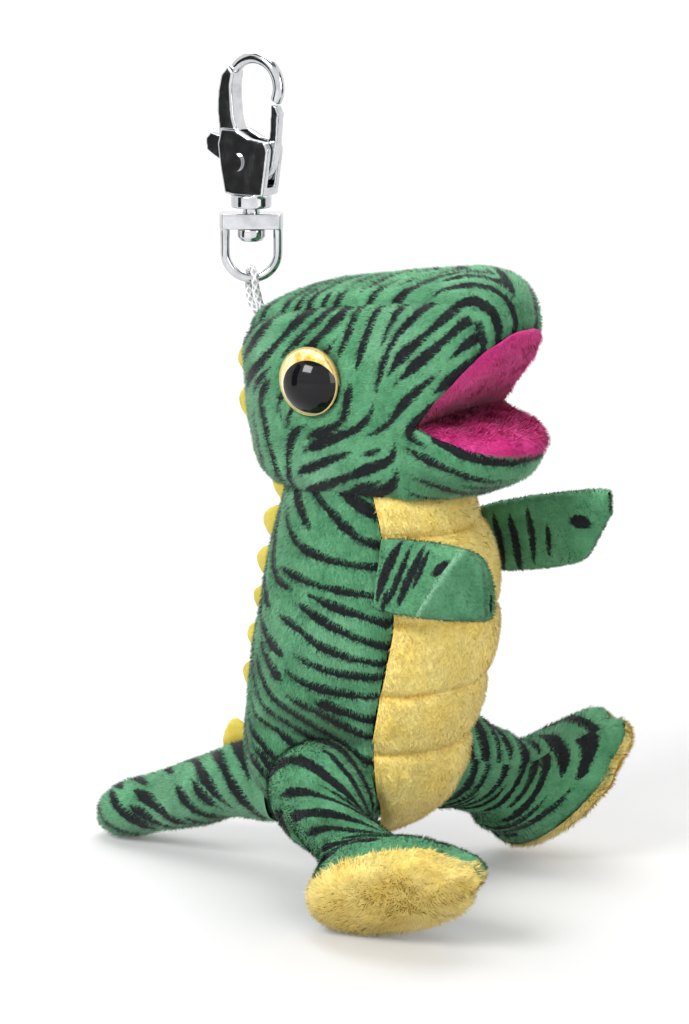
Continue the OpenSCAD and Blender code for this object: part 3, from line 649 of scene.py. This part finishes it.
def lining(name, upper, node, bulge, seed):
    a = np.linspace(0, 90, 60)[:, None] * (1 if upper else -1)
    w = np.linspace(-1, 1, 110)[None]
    edge = skull_surface(np.full(a.shape, 11.0), a)
    half = np.maximum(edge[..., 0] - 0.25, 0.02)
    p = np.stack([half * w, edge[..., 1] + 0 * w, edge[..., 2] + 0 * w], -1)
    tip = p[-1].mean(0)
    crease = p[0].mean(0)
    d = (tip - crease) / np.linalg.norm(tip - crease)
    n = np.cross(d, [1, 0, 0])
    n = n * (1 if n[1] < 0 else -1)
    along = np.sin(np.radians(np.abs(a)))
    crown = (1 - np.abs(w) ** 3.5) * (np.clip(along, 0, 1) ** 0.7) * (1 - 0.55 * along**6)
    sunk = 1.2 * np.exp(-((along / 0.22) ** 2)) * (1 - np.abs(w) ** 4)
    lift = bulge * crown + 0.25 * noise(p, 3.4, seed) * smooth(0, 0.3, along)
    p = p + n * lift[..., None]
    p = p + d * (0.35 * along**4)[..., None]
    p[..., 1] += sunk
    # Painted shade: deeper pink along the mouth's crease, plus random tone.
    warm_tone_and_shade = np.clip(np.exp(-((along / 0.25) ** 2)) + 0.35 * noise(p, 3.0, seed + 1), 0, 1) + 0 * w
    soft_piece(name, p, M_PINK, "toy", (node,), {"warm_tone_and_shade": warm_tone_and_shade}, nap=(0, -0.6, -0.8), out=n,
               seed=seed, density=22, length=1.0, lean=48)


# ---------------------------------------------------------------- legs
ROLL = math.radians(48)
HIP = np.array([14.8, -4, 19])


def tip_up(p, degrees):
    a = math.radians(degrees)
    return np.array([p[0], p[1] * math.cos(a) + p[2] * math.sin(a), -p[1] * math.sin(a) + p[2] * math.cos(a)])


def sole_axes(lift):
    toe = tip_up([0, -1, 0], lift)
    wide = tip_up([math.cos(ROLL), 0, math.sin(ROLL)], lift)
    down = tip_up([math.sin(ROLL), 0, -math.cos(ROLL)], lift)
    return toe, wide, down


def leg_frames(sole, lift):
    toe, wide, down = sole_axes(lift)
    instep = sole - down * 7.5 - toe * 5
    thigh = np.array([20, -7, 16.6])
    ankle = (thigh + instep) / 2
    return np.array([
        [HIP - [1.4, 0, 0], [0, -8.6, 0], [0, 0, 8.6]],
        [HIP, [0, -8.9, 0], [0, 0, 8.9]],
        [[17.6, -4.6, 18.3], [0, -9.6, 0], [1.9, 0, 9.1]],
        [thigh, [0, -9, 1], np.array([0.42, 0.1, 0.9]) * 8],
        [ankle, np.array([0, -0.95, 0.3]) * 7.6, np.array([0.58, 0.2, 0.78]) * 7.2],
        [instep, toe * 10, wide * 7.6],
        [sole - down * 5 - toe * 1.5, toe * 13.5, wide * 8.8],
        [sole - down * 2.4, toe * 16, wide * 9.2],
        [sole + down * 0.1, toe * 15.4, wide * 8.4],
    ])


def lobes(phi):
    """Outline of the toe end: three rounded toes."""
    toe_end = smooth(0.35, 0.75, np.cos(phi))
    return 1 + toe_end * (0.055 * np.cos(phi * 7.2) - 0.02)


def leg(side, sole, lift, name, seed):
    sole = np.array(sole, float)
    frames = leg_frames(sole, lift)
    toe, wide, down = sole_axes(lift)
    rows, columns = 110, 190
    t = np.linspace(0, 8, rows)
    f = pchip(np.arange(9), frames.reshape(9, 9), t).reshape(rows, 3, 3)
    phi = np.linspace(0, 2 * np.pi, columns, endpoint=False)[None]
    k = 1 + (lobes(phi) - 1) * smooth(5.2, 7.2, t)[:, None]
    spoke = f[:, None, 1] * np.cos(phi)[..., None] + f[:, None, 2] * np.sin(phi)[..., None]
    p = f[:, None, 0] + spoke * k[..., None]
    normal = grid_normals(p, True)
    normal = normal * np.sign((normal * (p - f[:, None, 0])).sum())
    fold = 0.5 * np.sin(t * 5.2)[:, None] * smooth(2.6, 3.4, t)[:, None] * smooth(5.6, 4.6, t)[:, None]
    lift_by = 0.3 * noise(p, 7, seed) + 0.12 * noise(p, 3.6, seed + 1)
    lift_by = lift_by + fold * (0.6 + 0.5 * np.cos(phi - 2.6))
    lift_by = lift_by * smooth(0.2, 1.6, t)[:, None] - 0.5 * smooth(7.6, 8, t)[:, None]
    p = p + normal * lift_by[..., None]
    run = arc(p, 0).mean(1)
    chart = np.stack([(phi - np.pi) * 7.6 + 0 * t[:, None], run[:, None] + 0 * phi], -1)

    def flow(c, l):
        return (1.0, 0.30 * math.sin(c / 6.5) + 0.45 * noise(np.array([c, l, 2.0]), 8, seed + 2))

    inside = occupied(chart)
    stop = run[int(rows * 6.1 / 8)]
    on_leg = lambda x, y: inside(x, y) and 1.5 < y < stop
    marks = flow_stripes(flow, on_leg, box_of(chart), 2.35, (8, 30), 0.8, seed + 3)
    mark = mark_distance(chart, marks)
    claw_phi = np.array([-0.56, 0.0, 0.56])
    last = run[-1]
    for c in claw_phi:
        angle = np.abs((phi - c + np.pi) % (2 * np.pi) - np.pi)
        far = np.hypot(angle * 15.5, (run[:, None] - (last - 1.3)) * 0.55) - 0.75
        mark = np.minimum(mark, far)
    warm_tone_and_shade = np.clip(0.4 * noise(p, 9, seed + 4), 0, 0.5) * smooth(7.4, 6.0, t)[:, None]
    mirror = np.array([side, 1, 1])
    nap = (down * 0.6 + toe * 0.7) * mirror
    body_name = name + "_leg"
    place = ("toy", body_name, (HIP - [0.8, 0, 0]) * mirror, (HIP + [4.5, 0, 0]) * mirror)
    soft_piece(name + "_leg_plush", p * mirror, M_GREEN, place,
               (name + "_leg_cover", name + "_leg_stuffing"),
               {"mark": mark, "warm_tone_and_shade": warm_tone_and_shade}, wrap=True, nap=nap, seed=seed + 5, density=17)
    reach = np.linspace(0.003, 1.2, 68)[:, None]
    r, turned = np.minimum(reach, 1), np.clip((reach - 1) / 0.2, 0, 1)
    phi = np.linspace(0, 2 * np.pi, 170, endpoint=False)[None]
    out = lobes(phi)
    plane = (toe * ((15.4 * r + 0.5 * turned) * out * np.cos(phi))[..., None]
             + wide * ((8.5 * r + 0.65 * turned) * out * np.sin(phi))[..., None])
    crown = 2.0 * (1 - r**3.2) ** 0.6 + 0.25 * noise(plane, 4, seed + 6) * (1 - r**4) - 1.6 * turned + 0 * phi
    q = (sole + plane + down * crown[..., None] + down * 0.1) * mirror
    warm_tone_and_shade = np.clip(0.35 + 0.75 * noise(q, 3.0, seed + 7), 0, 1) * smooth(1.0, 0.5, r) * 0.55
    swirl = np.cross(down, plane) * 0.5 + plane + wide * 3
    soft_piece(name + "_sole_plush", q, M_YELLOW, body_name, (name + "_sole",),
               {"warm_tone_and_shade": warm_tone_and_shade}, wrap=True, out=down * mirror, nap=swirl * mirror,
               seed=seed + 8, density=20, length=1.15, lean=52, width=0.14)


# ---------------------------------------------------------------- tail
# Along y: height of the middle, half width
TAIL = np.array([
    [13.5, 14.6, 6.6], [16, 14.5, 6.9], [19, 14.5, 7.0], [22.6, 14, 6.9],
    [27, 12, 6.6], [32, 10, 6.2], [37, 8.1, 5.8],
    [42, 6.3, 5.4], [46, 5.1, 5.0], [48.6, 4.5, 4.1], [50.2, 4.3, 2.8], [50.8, 4.2, 1.6], [51, 4.2, 0.05],
])
TAIL_PIVOT = np.array([0, 21.8, 14.4])


def tail():
    run = arc(TAIL[:, :2], 0) + np.abs(arc(TAIL[:, 2:], 0))
    t = np.linspace(0, run[-1], 125)
    y, z, r = np.moveaxis(pchip(run, TAIL, t), -1, 0)
    phi = np.linspace(0, 2 * np.pi, 140, endpoint=False)[None]
    oval = 1 + 0.05 * np.cos(2 * phi)
    p = np.stack([
        r[:, None] * np.cos(phi) * 0.96,
        y[:, None] - 0.05 * r[:, None] * np.sin(phi),
        z[:, None] + r[:, None] * np.sin(phi) * oval,
    ], -1)
    centre = np.stack([0 * y, y, z], -1)[:, None]
    normal = grid_normals(p, True)
    normal = normal * np.sign((normal * (p - centre)).sum())
    top = np.abs((phi - np.pi / 2 + np.pi) % (2 * np.pi) - np.pi) * r[:, None]
    lift = 0.26 * noise(p, 6, 41) + 0.1 * noise(p, 3, 42) - 0.45 * np.exp(-((top / 0.8) ** 2))
    lift = lift * smooth(51.0, 50.2, y)[:, None]
    p = p + normal * lift[..., None]
    angle = (phi + np.pi / 2) % (2 * np.pi) - np.pi
    chart = np.stack([angle * 6.0 + 0 * t[:, None], y[:, None] + 0 * phi], -1)

    def flow(c, l):
        bend = 0.95 + 0.5 * noise(np.array([c, l, 4.0]), 8, 43)
        return (1.0, bend if c < 0 else -bend)

    inside = occupied(chart)
    marks = []
    for side, seed in ((1, 44), (-1, 45)):
        ok = lambda x, y, side=side: x * side > 0 and y > 15 and inside(x, y)
        marks += flow_stripes(flow, ok, box_of(chart), 2.6, (8, 26), 0.8, seed)
    warm_tone_and_shade = np.clip(0.25 + 0.4 * noise(p, 9, 46) - 0.3 * np.sin(phi), 0, 0.7)
    place = ("toy", "tail", TAIL_PIVOT - [0, 4.5, 0], TAIL_PIVOT + [0, 5.5, 0])
    soft_piece("tail_plush", p, M_GREEN, place, ("tail_cover", "tail_stuffing"),
               {"mark": mark_distance(chart, marks), "warm_tone_and_shade": warm_tone_and_shade}, wrap=True,
               nap=(0, 1, -0.4), seed=47, density=17)


# ---------------------------------------------------------------- felt scallops
def scallops(name, line, low, pitch, count, height, node, place, seed):
    """Rounded felt teeth along a line: line(z) gives the point and the outward direction."""
    t = np.linspace(0, count, count * 44 + 1)
    bump = height * np.abs(np.sin(np.pi * t)) ** 0.62 + 0.55
    at, out = line(low + t * pitch)
    c = np.linspace(0, np.pi, 34)[None]
    wide = 0.85 * np.cos(c) * (0.75 + 0.25 * np.clip(bump / 2.5, 0, 1))[:, None]
    tall = (np.sin(c) ** 0.55) * (bump + 0.9)[:, None] - 0.9
    p = at[:, None] + out[:, None] * tall[..., None]
    p[..., 0] += wide
    p = p + 0.07 * noise(p, 1.3, seed)[..., None] * [1, 0.3, 0.3]
    # Painted shade: darker felt towards the root of each tooth, where it meets the seam, plus random tone.
    warm_tone_and_shade = np.clip(1 - tall / 1.3, 0, 1) * 0.8 + 0.15 * noise(p, 2, seed + 1)
    soft_piece(name, p, M_FELT, place, (node,), {"warm_tone_and_shade": warm_tone_and_shade}, nap=(0, 0.4, -1), out=None,
               seed=seed, density=28, length=0.42, width=0.07, lean=50)


def spikes():
    z = np.linspace(15, 68.4, 200)
    back = trunk_surface(z, np.full_like(z, 90))
    tangent = np.gradient(back, axis=0)
    out = np.stack([0 * z, tangent[:, 2], -tangent[:, 1]], -1)
    out /= np.linalg.norm(out, axis=1, keepdims=True)

    def on_trunk(h):
        return (np.stack([np.interp(h, z, back[:, k]) for k in range(3)], -1),
                np.stack([np.interp(h, z, out[:, k]) for k in range(3)], -1))

    scallops("body_scallops", on_trunk, 22.2, 6.5, 7, 4.4, "body_spikes", "toy", 51)
    head_line = np.array([[66, 12.2], [68.1, 12.8], [71, 14.6], [75, 16.5],
                          [79, 17.5], [85, 17.6], [90, 16.8]])

    def on_head(h):
        y = pchip(head_line[:, 0], head_line[:, 1], h)
        slope = np.gradient(y, h)
        d = np.stack([0 * h, np.ones_like(h), -slope], -1)
        return np.stack([0 * h, y, h], -1), d / np.linalg.norm(d, axis=1, keepdims=True)

    scallops("head_scallops", on_head, 68.6, 6.5, 3, 4.4, "head_spikes", "toy", 52)

    def on_tail(h):
        y = 20.6 + h
        z = np.interp(y, TAIL[:, 0], TAIL[:, 1] + TAIL[:, 2])
        d = np.tile([0, 0.25, 0.97], (len(h), 1))
        return np.stack([0 * h, y, z], -1), d

    scallops("tail_scallop", on_tail, 0, 5.0, 1, 2.8, "tail_spike", "tail", 53)


# ---------------------------------------------------------------- arms
def arm_axes(side, lift):
    """Middle of the seam, and unit directions forward, up and outward of an arm's pad."""
    low, high = np.array([17.2, -15, 51]), np.array([14.4, -15, 62.0])
    seam = high - low
    up = seam / np.linalg.norm(seam)
    forward = np.array([0, -1, 0.0])
    out = np.cross(forward, up)
    out = out * (1 if out[0] > 0 else -1)
    mirror = np.array([side, 1, 1])
    middle = (low + high) / 2 * mirror
    return middle, forward * mirror, up * mirror, out * mirror, math.tan(math.radians(lift))


def arm(side, name, lift, lower, upper, node, spot, bands, seed, folded):
    """A flat pad of two cloth layers between a lower and an upper edge, both as (forward, up) points."""
    middle, forward, up, out, rise = arm_axes(side, lift)
    lower, upper = np.array(lower, float), np.array(upper, float)
    rows, around = 100, 150
    t = np.linspace(0, 1, rows)
    lo = pchip(np.linspace(0, 1, len(lower)), lower, t)
    hi = pchip(np.linspace(0, 1, len(upper)), upper, t)
    phi = np.linspace(0, 2 * np.pi, around, endpoint=False)[None]
    v = 0.5 + 0.5 * np.sign(np.sin(phi)) * np.abs(np.sin(phi)) ** 0.75
    half = 1.45 * np.cos(phi)
    half = np.sign(half) * np.abs(half / 1.45) ** 0.6 * 1.45
    end = np.sqrt(np.clip(1 - ((t - 0.93) / 0.07).clip(0, 1) ** 2, 0, 1))
    half = half * (0.3 + 0.7 * end)[:, None] * smooth(-0.04, 0.08, t)[:, None]
    s = lo[:, None, 0] * (1 - v) + hi[:, None, 0] * v
    h = lo[:, None, 1] * (1 - v) + hi[:, None, 1] * v
    chart = np.stack([s, h], -1)
    lifted = h + s * rise
    outer = np.clip(half, 0, None) / 1.45
    half = half + 0.35 * noise(np.stack([s, h, half], -1), 5, seed) * np.sign(half)
    mark = mark_distance(chart, strokes(*bands))
    mark = np.where(outer > 0.05, mark, mark_distance(chart + [0.8, 0.6], strokes(*bands)))
    warm_tone_and_shade = 0 * s + 0.05
    tone = 0 * s
    keep = np.ones_like(s)
    if folded:
        across = (h + 5.0) * 0.62 + 8.2 - s
        flap = smooth(0.15, -0.5, across) * (outer > 0.3)
        half = half + 0.75 * flap
        fringe = np.exp(-(((across + 0.6) / 0.75) ** 2)) * (outer > 0.3)
        warm_tone_and_shade = np.clip(0.9 * fringe, 0, 1)
        mark = np.where(flap > 0.5, 3.0, mark)
        tone = -1.1 * flap * (1 - fringe)
        keep = 1 - 0.55 * flap * (1 - fringe)
        mark = np.minimum(mark, np.where(s > 19.3, 0.25, 3))
    if spot is not None:
        centre, long, wide, turn = spot
        a = math.radians(turn)
        d = chart - centre
        along = d[..., 0] * math.cos(a) + d[..., 1] * math.sin(a)
        side_way = d[..., 1] * math.cos(a) - d[..., 0] * math.sin(a)
        mark = np.minimum(mark, (np.hypot(along / long, side_way / wide) - 1) * wide)
    p = middle + s[..., None] * forward + lifted[..., None] * up + half[..., None] * out
    soft_piece(name + "_arm_plush", p, M_GREEN, name + "_arm_pad", (node,),
               {"mark": mark, "warm_tone_and_shade": warm_tone_and_shade}, wrap=True, nap=forward, seed=seed,
               density=20, keep=keep, shift=tone, length=0.75)


def arms():
    arm(-1, "right", 2,
        [[-0.6, -5.4], [5, -5.9], [10.2, -6.0], [16, -5.7], [20.5, -5.1], [20.7, -4.2]],
        [[-0.6, 5.6], [5, 5.9], [9, 5.8], [15.9, 5.0], [18.6, 3.0], [20.3, -1.2]],
        "right_arm", ([11.6, 1.9], 2.0, 0.85, 42),
        [([[0.2, -4.5], [1.4, 0.5], [3.6, 5.6]], 0.95), ([[2.4, -5], [3.8, -0.5], [5.6, 5.3]], 0.6),
         ([[4.4, -4.6], [6.0, 0.2], [8.0, 5.4]], 0.75),
         ([[1.4, -6], [2.3, -2.2]], 0.5), ([[6.9, -1.5], [8.8, 4.6]], 0.55)],
        61, True)
    arm(1, "left", 14,
        [[-0.6, -5.4], [6, -6.4], [12, -6.7], [18, -6.0], [21.6, -2.2], [24.3, 1.2]],
        [[-0.6, 5.6], [6, 6.0], [12, 6.2], [18, 6.0], [21.4, 5.8], [24.5, 5.2]],
        "left_arm", ([19.4, 1.2], 2.1, 1.15, -16),
        [([[1.2, -5], [1.8, 0.5], [1.4, 5.4]], 0.85), ([[4.2, -6], [4.5, 0], [3.9, 5.2]], 0.7),
         ([[7.2, -6.2], [7.6, -0.4], [7.0, 4.8]], 0.8), ([[10.2, -4.8], [10.8, 0.6], [10.4, 5.6]], 0.6),
         ([[13.4, -3.6], [13.9, 2.0]], 0.5)],
        62, False)


# ---------------------------------------------------------------- eyes
def eye_material():
    n = Nodes("eye_lens")
    d = n.attribute("pupil")
    foil_noise = n.noise(420, 3.0, 0.6)
    foil = n.mix(n.range(foil_noise, 0.4, 0.62, 0, 1), (0.60, 0.36, 0.05), (0.90, 0.74, 0.34))
    foil = n.mix(n.range(n.attribute("low"), -4, 4, 0, 0.6), foil, (0.90, 0.80, 0.55))
    speck = n.range(n.noise(2600, 1.0), 0.66, 0.70, 0, 1)
    foil = n.mix(n.math("MULTIPLY", speck, 0.5), foil, (0.10, 0.05, 0.01))
    inside = n.range(d, -0.04, 0.04, 1, 0)
    colour = n.mix(inside, foil, (0.004, 0.004, 0.005))
    rim = n.range(n.attribute("radius"), 5.0, 5.2, 0, 0.55)
    colour = n.mix(rim, colour, (0.01, 0.008, 0.006))
    rough = n.mix(inside, (0.28, 0.28, 0.28), (0.12, 0.12, 0.12))
    metal = n.math("MULTIPLY", n.math("SUBTRACT", 1.0, inside), 0.4)
    return n.finish({"Base Color": colour, "Roughness": rough, "Metallic": metal, "Specular IOR Level": 0.1,
                     "Coat Weight": 0.4, "Coat Roughness": 0.015, "Coat IOR": 1.45})


def moulded(name, colour, rough):
    n = Nodes(name)
    grain = n.noise(2400, 3.0)
    tint = n.mix(n.range(grain, 0.3, 0.7, 0, 1), tuple(c * 0.8 for c in colour), colour)
    return n.finish({
        "Base Color": tint, "Roughness": n.range(grain, 0.3, 0.7, rough - 0.08, rough + 0.08),
        "Normal": n.add("Bump", {"Strength": 0.2, "Distance": 0.00005, "Height": grain}).outputs[0],
    })


def eye(side, name, lens, back):
    """The clear dome with its painted back: a lathe with a small flange, pupil towards the nose."""
    radius, bulge, flange = 5.4, 3.5, 0.9
    ball = (radius * radius + bulge * bulge) / (2 * bulge)
    top = np.linspace(0, 1, 46) ** 0.8
    r = radius * np.sin(top * np.pi / 2) - 0.06 * top
    h = flange + np.sqrt(np.maximum(ball**2 - r**2, 0)) - (ball - bulge)
    r = np.concatenate([[0.004], r[1:], [radius, radius + 0.04, radius + 0.02, radius - 0.25]])
    h = np.concatenate([[h[0]], h[1:], [flange - 0.02, flange - 0.3, 0.35, 0.05]])[:, None]
    phi = np.linspace(0, 2 * np.pi, 120, endpoint=False)[None]
    forward, high = r[:, None] * np.cos(phi), r[:, None] * np.sin(phi)
    p = np.stack([side * (EYE[0] - 0.35 + h + 0 * phi), EYE[1] - forward, EYE[2] + high], -1)
    faces = grid_faces(len(r), 120, True)
    if side > 0:
        faces = faces[:, ::-1]
    pupil = np.hypot(forward - 1.15, high + 0.55) - 4.3
    obj = build_mesh(name, p.reshape(-1, 3), faces, lens,
                     {"pupil": pupil, "radius": np.hypot(forward, high), "low": -high - forward})
    settle(obj, "toy", (name.replace("_lens", "_dome"),))
    NODES[name.replace("_lens", "_base")].data.materials.clear()
    NODES[name.replace("_lens", "_base")].data.materials.append(back)


# ---------------------------------------------------------------- cord
RING_TURN = math.radians(-57)
ACROSS = np.array([math.cos(RING_TURN), math.sin(RING_TURN), 0])
OUTWARD = np.array([math.sin(RING_TURN), -math.cos(RING_TURN), 0])
BAR = np.array([0, 19.9, 98.2])
CORD_EXIT = np.array([0, 16.6, 91.2])


def cord_line():
    """Centre line of the loop: up one strand, over the ring's bar and down the other."""
    foot = CORD_EXIT + [0, -2.1, -5.6]
    low = BAR + [0, -0.6, -3.6]
    arch = [BAR + OUTWARD * 1.65 * math.cos(a) + np.array([0, 0, 1.65 * math.sin(a)])
            + ACROSS * 0.55 * math.cos(a)
            for a in np.linspace(0, math.pi, 9)]
    points = [foot + ACROSS * 0.62, CORD_EXIT + ACROSS * 0.68, low + ACROSS * 0.75 + OUTWARD * 0.6, *arch,
              low - ACROSS * 0.75 - OUTWARD * 0.6, CORD_EXIT - ACROSS * 0.68, foot - ACROSS * 0.62]
    points = np.array(points)
    run = arc(points, 0)
    return pchip(run, points, np.linspace(0, run[-1], 260))


def hang_cord():
    line = cord_line()
    run = arc(line, 0)
    tangent = np.gradient(line, axis=0)
    tangent /= np.linalg.norm(tangent, axis=1, keepdims=True)
    u = np.cross(tangent, ACROSS)
    u /= np.linalg.norm(u, axis=1, keepdims=True)
    v = np.cross(tangent, u)
    phi = np.linspace(0, 2 * np.pi, 40, endpoint=False)[None]
    s = run[:, None] * (2 * np.pi / 1.5)
    one, two = np.cos(3 * phi + s), np.cos(3 * phi - s)
    weave = np.maximum(one, two)
    r = 0.50 + 0.075 * weave + 0.012 * np.cos(18 * phi + 6 * s)
    spoke = u[:, None] * np.cos(phi)[..., None] + v[:, None] * np.sin(phi)[..., None]
    p = line[:, None] + r[..., None] * spoke
    n = Nodes("braid")
    # Painted shade: the grooves between strands, where the weave is low, darker grey than the strands'
    # crowns.
    groove_shade = n.attribute("weave")
    thread = n.noise(5200, 2.0)
    colour = n.mix(n.range(groove_shade, 0.2, 1.0, 0, 1), (0.26, 0.26, 0.27), (0.78, 0.78, 0.79))
    colour = n.mix(n.range(thread, 0.35, 0.65, 0, 0.35), colour, (0.50, 0.50, 0.52))
    material = n.finish({
        "Base Color": colour, "Roughness": n.range(thread, 0.3, 0.7, 0.45, 0.7), "Sheen Weight": 0.25,
        "Normal": n.add("Bump", {"Strength": 0.5, "Distance": 0.00005, "Height": thread}).outputs[0],
    })
    faces = grid_faces(len(line), 40, True)
    obj = build_mesh("hang_cord_braid", p.reshape(-1, 3), faces, material, {"weave": weave})
    settle(obj, "cord", ("hang_cord",))
    knot = NODES["cord_knot"]
    knot.data.materials.clear()
    knot.data.materials.append(material)


# ---------------------------------------------------------------- metal
def chrome():
    n = Nodes("chrome")
    cloudy = n.noise(500, 3.0, 0.6)
    scratch = n.noise(4200, 2.0, 0.7)
    cast = n.add("Bump", {"Strength": 0.6, "Distance": 0.0004, "Height": n.noise(190, 1.0)}).outputs[0]
    tint = n.mix(n.range(cloudy, 0.35, 0.65, 0, 1), (0.50, 0.51, 0.53), (0.60, 0.61, 0.63))
    return n.finish({
        "Base Color": tint, "Metallic": 1.0, "Roughness": n.range(cloudy, 0.35, 0.65, 0.05, 0.14),
        "Normal": n.add("Bump", {"Strength": 0.10, "Distance": 0.00003, "Height": scratch,
                                 "Normal": cast}).outputs[0],
    })


def metal_parts():
    plated = chrome()
    for node in ("d_ring", "swivel_pin", "hook_body", "gate", "gate_rivet", "gate_spring"):
        part = NODES[node]
        part.data.materials.clear()
        part.data.materials.append(plated)
        for polygon in part.data.polygons:
            polygon.use_smooth = True
        if node in ("hook_body", "gate", "d_ring", "swivel_pin"):
            cast = part.modifiers.new("cast", "REMESH")
            cast.mode, cast.voxel_size, cast.use_smooth_shade = "VOXEL", 0.00013, True
            polish = part.modifiers.new("polish", "SMOOTH")
            polish.factor, polish.iterations = 0.5, 22 if node == "hook_body" else 10
            continue
        if node != "gate_spring":
            bevel = part.modifiers.new("edge", "BEVEL")
            bevel.width, bevel.segments = 0.00022, 3
            bevel.limit_method, bevel.angle_limit = "ANGLE", math.radians(32)
            bevel.harden_normals = False
        part.modifiers.new("weighted", "WEIGHTED_NORMAL").keep_sharp = True
    washer = moulded("washer", (0.03, 0.03, 0.03), 0.5)
    for node in ("right_eye_washer", "left_eye_washer"):
        NODES[node].data.materials.clear()
        NODES[node].data.materials.append(washer)


# ---------------------------------------------------------------- studio
def plane_card(name, centre, size, look_at, strength, colour=(1, 1, 1)):
    data = bpy.data.lights.new(name, "AREA")
    data.shape, data.size, data.size_y = "RECTANGLE", size[0], size[1]
    data.energy, data.color = strength, colour
    obj = bpy.data.objects.new(name, data)
    bpy.context.scene.collection.objects.link(obj)
    obj.location = centre
    obj.visible_camera = False
    obj.rotation_mode = "QUATERNION"
    obj.rotation_quaternion = (Vector(look_at) - Vector(centre)).to_track_quat("-Z", "Y")
    return obj


def studio():
    n = Nodes("floor")
    paper = n.noise(60, 4.0)
    # The floor material glows: painted light, faint in the middle of the bowl and stronger towards its wall.
    floor = n.finish({
        "Base Color": n.mix(paper, (0.46, 0.46, 0.46), (0.48, 0.48, 0.48)),
        "Roughness": n.range(paper, 0.3, 0.7, 0.8, 0.9),
        "Emission Color": (1, 1, 1, 1),
        "Emission Strength": n.range(n.attribute("distance"), 0, 1, 0.12, 0.68),
    })
    away = back_of(-57, 0)
    # A pale bowl: flat floor, rounded foot and a wall that stands outside every camera
    turn = np.linspace(0, np.pi / 2, 20)
    radius = np.concatenate([[0.01], 1.5 + 0.4 * np.sin(turn), [1.9]])
    height = np.concatenate([[0], 0.4 - 0.4 * np.cos(turn), [2.4]]) - 0.0002
    phi = np.linspace(0, 2 * np.pi, 128, endpoint=False)
    verts = np.stack([
        np.outer(radius, np.cos(phi)), np.outer(radius, np.sin(phi)), np.outer(height, np.ones(128)),
    ], -1).reshape(-1, 3)
    faces = grid_faces(len(radius), 128, True)[:, ::-1]
    mesh = bpy.data.meshes.new("backdrop")
    mesh.from_pydata(verts.tolist(), [], faces.tolist() + [list(range(128))])
    for polygon in mesh.polygons:
        polygon.use_smooth = True
    distance = np.repeat(np.clip(radius / 1.5, 0, 1), 128).astype(np.float32)
    mesh.attributes.new("distance", "FLOAT", "POINT").data.foreach_set("value", distance)
    mesh.materials.append(floor)
    backdrop = bpy.data.objects.new("backdrop", mesh)
    bpy.context.scene.collection.objects.link(backdrop)
    world = bpy.data.worlds.new("studio")
    world.use_nodes = True
    world.node_tree.nodes["Background"].inputs[0].default_value = (1, 1, 1, 1)
    world.node_tree.nodes["Background"].inputs[1].default_value = 0.22
    bpy.context.scene.world = world
    centre = Vector((0, 0, 0.06))
    right = Vector((math.cos(math.radians(-57)), math.sin(math.radians(-57)), 0))
    lights = (
        ("key", away * 0.55 + right * -0.42 + Vector((0, 0, 0.62)), (0.40, 0.30), 7.5),
        ("fill", away * 0.50 + right * 0.62 + Vector((0, 0, 0.25)), (0.35, 0.45), 2.2),
        ("top", Vector((0, 0, 0.85)) + away * -0.05, (0.5, 0.5), 3.6),
        ("back", away * -0.45 + Vector((0, 0, 0.75)), (0.9, 0.4), 3.6),
    )
    for name, at, size, power in lights:
        plane_card(name, at, size, centre, power)
    n = Nodes("black_card")
    ink = n.mix(n.noise(30), (0.005, 0.005, 0.005), (0.01, 0.01, 0.01))
    black = n.finish({"Base Color": ink, "Roughness": 0.9})
    for name, at, half in (("card_left", right * -0.30 + away * 0.10, 0.06),
                           ("card_right", right * 0.30 + away * 0.10, 0.10)):
        spread = away * half
        corners = [at - spread, at + spread]
        verts = [tuple(c + Vector((0, 0, h))) for h in (0.01, 0.34) for c in corners]
        mesh = bpy.data.meshes.new(name)
        mesh.from_pydata(verts, [], [(0, 1, 3, 2)])
        mesh.materials.append(black)
        card = bpy.data.objects.new(name, mesh)
        card.visible_camera = False
        bpy.context.scene.collection.objects.link(card)


body()
belly()
head()
lining("upper_lining_plush", True, "upper_mouth_lining", 1.3, 71)
lining("lower_lining_plush", False, "lower_mouth_lining", 3.2, 74)
leg(-1, [27, -24.5, 8.6], 22, "right", 81)
leg(1, [29.5, -23, 13.2], 42, "left", 91)
tail()
spikes()
arms()
LENS, EYE_BACK = eye_material(), moulded("eye_back", (0.55, 0.40, 0.14), 0.35)
eye(-1, "right_eye_lens", LENS, EYE_BACK)
eye(1, "left_eye_lens", LENS, EYE_BACK)
hang_cord()
metal_parts()
studio()
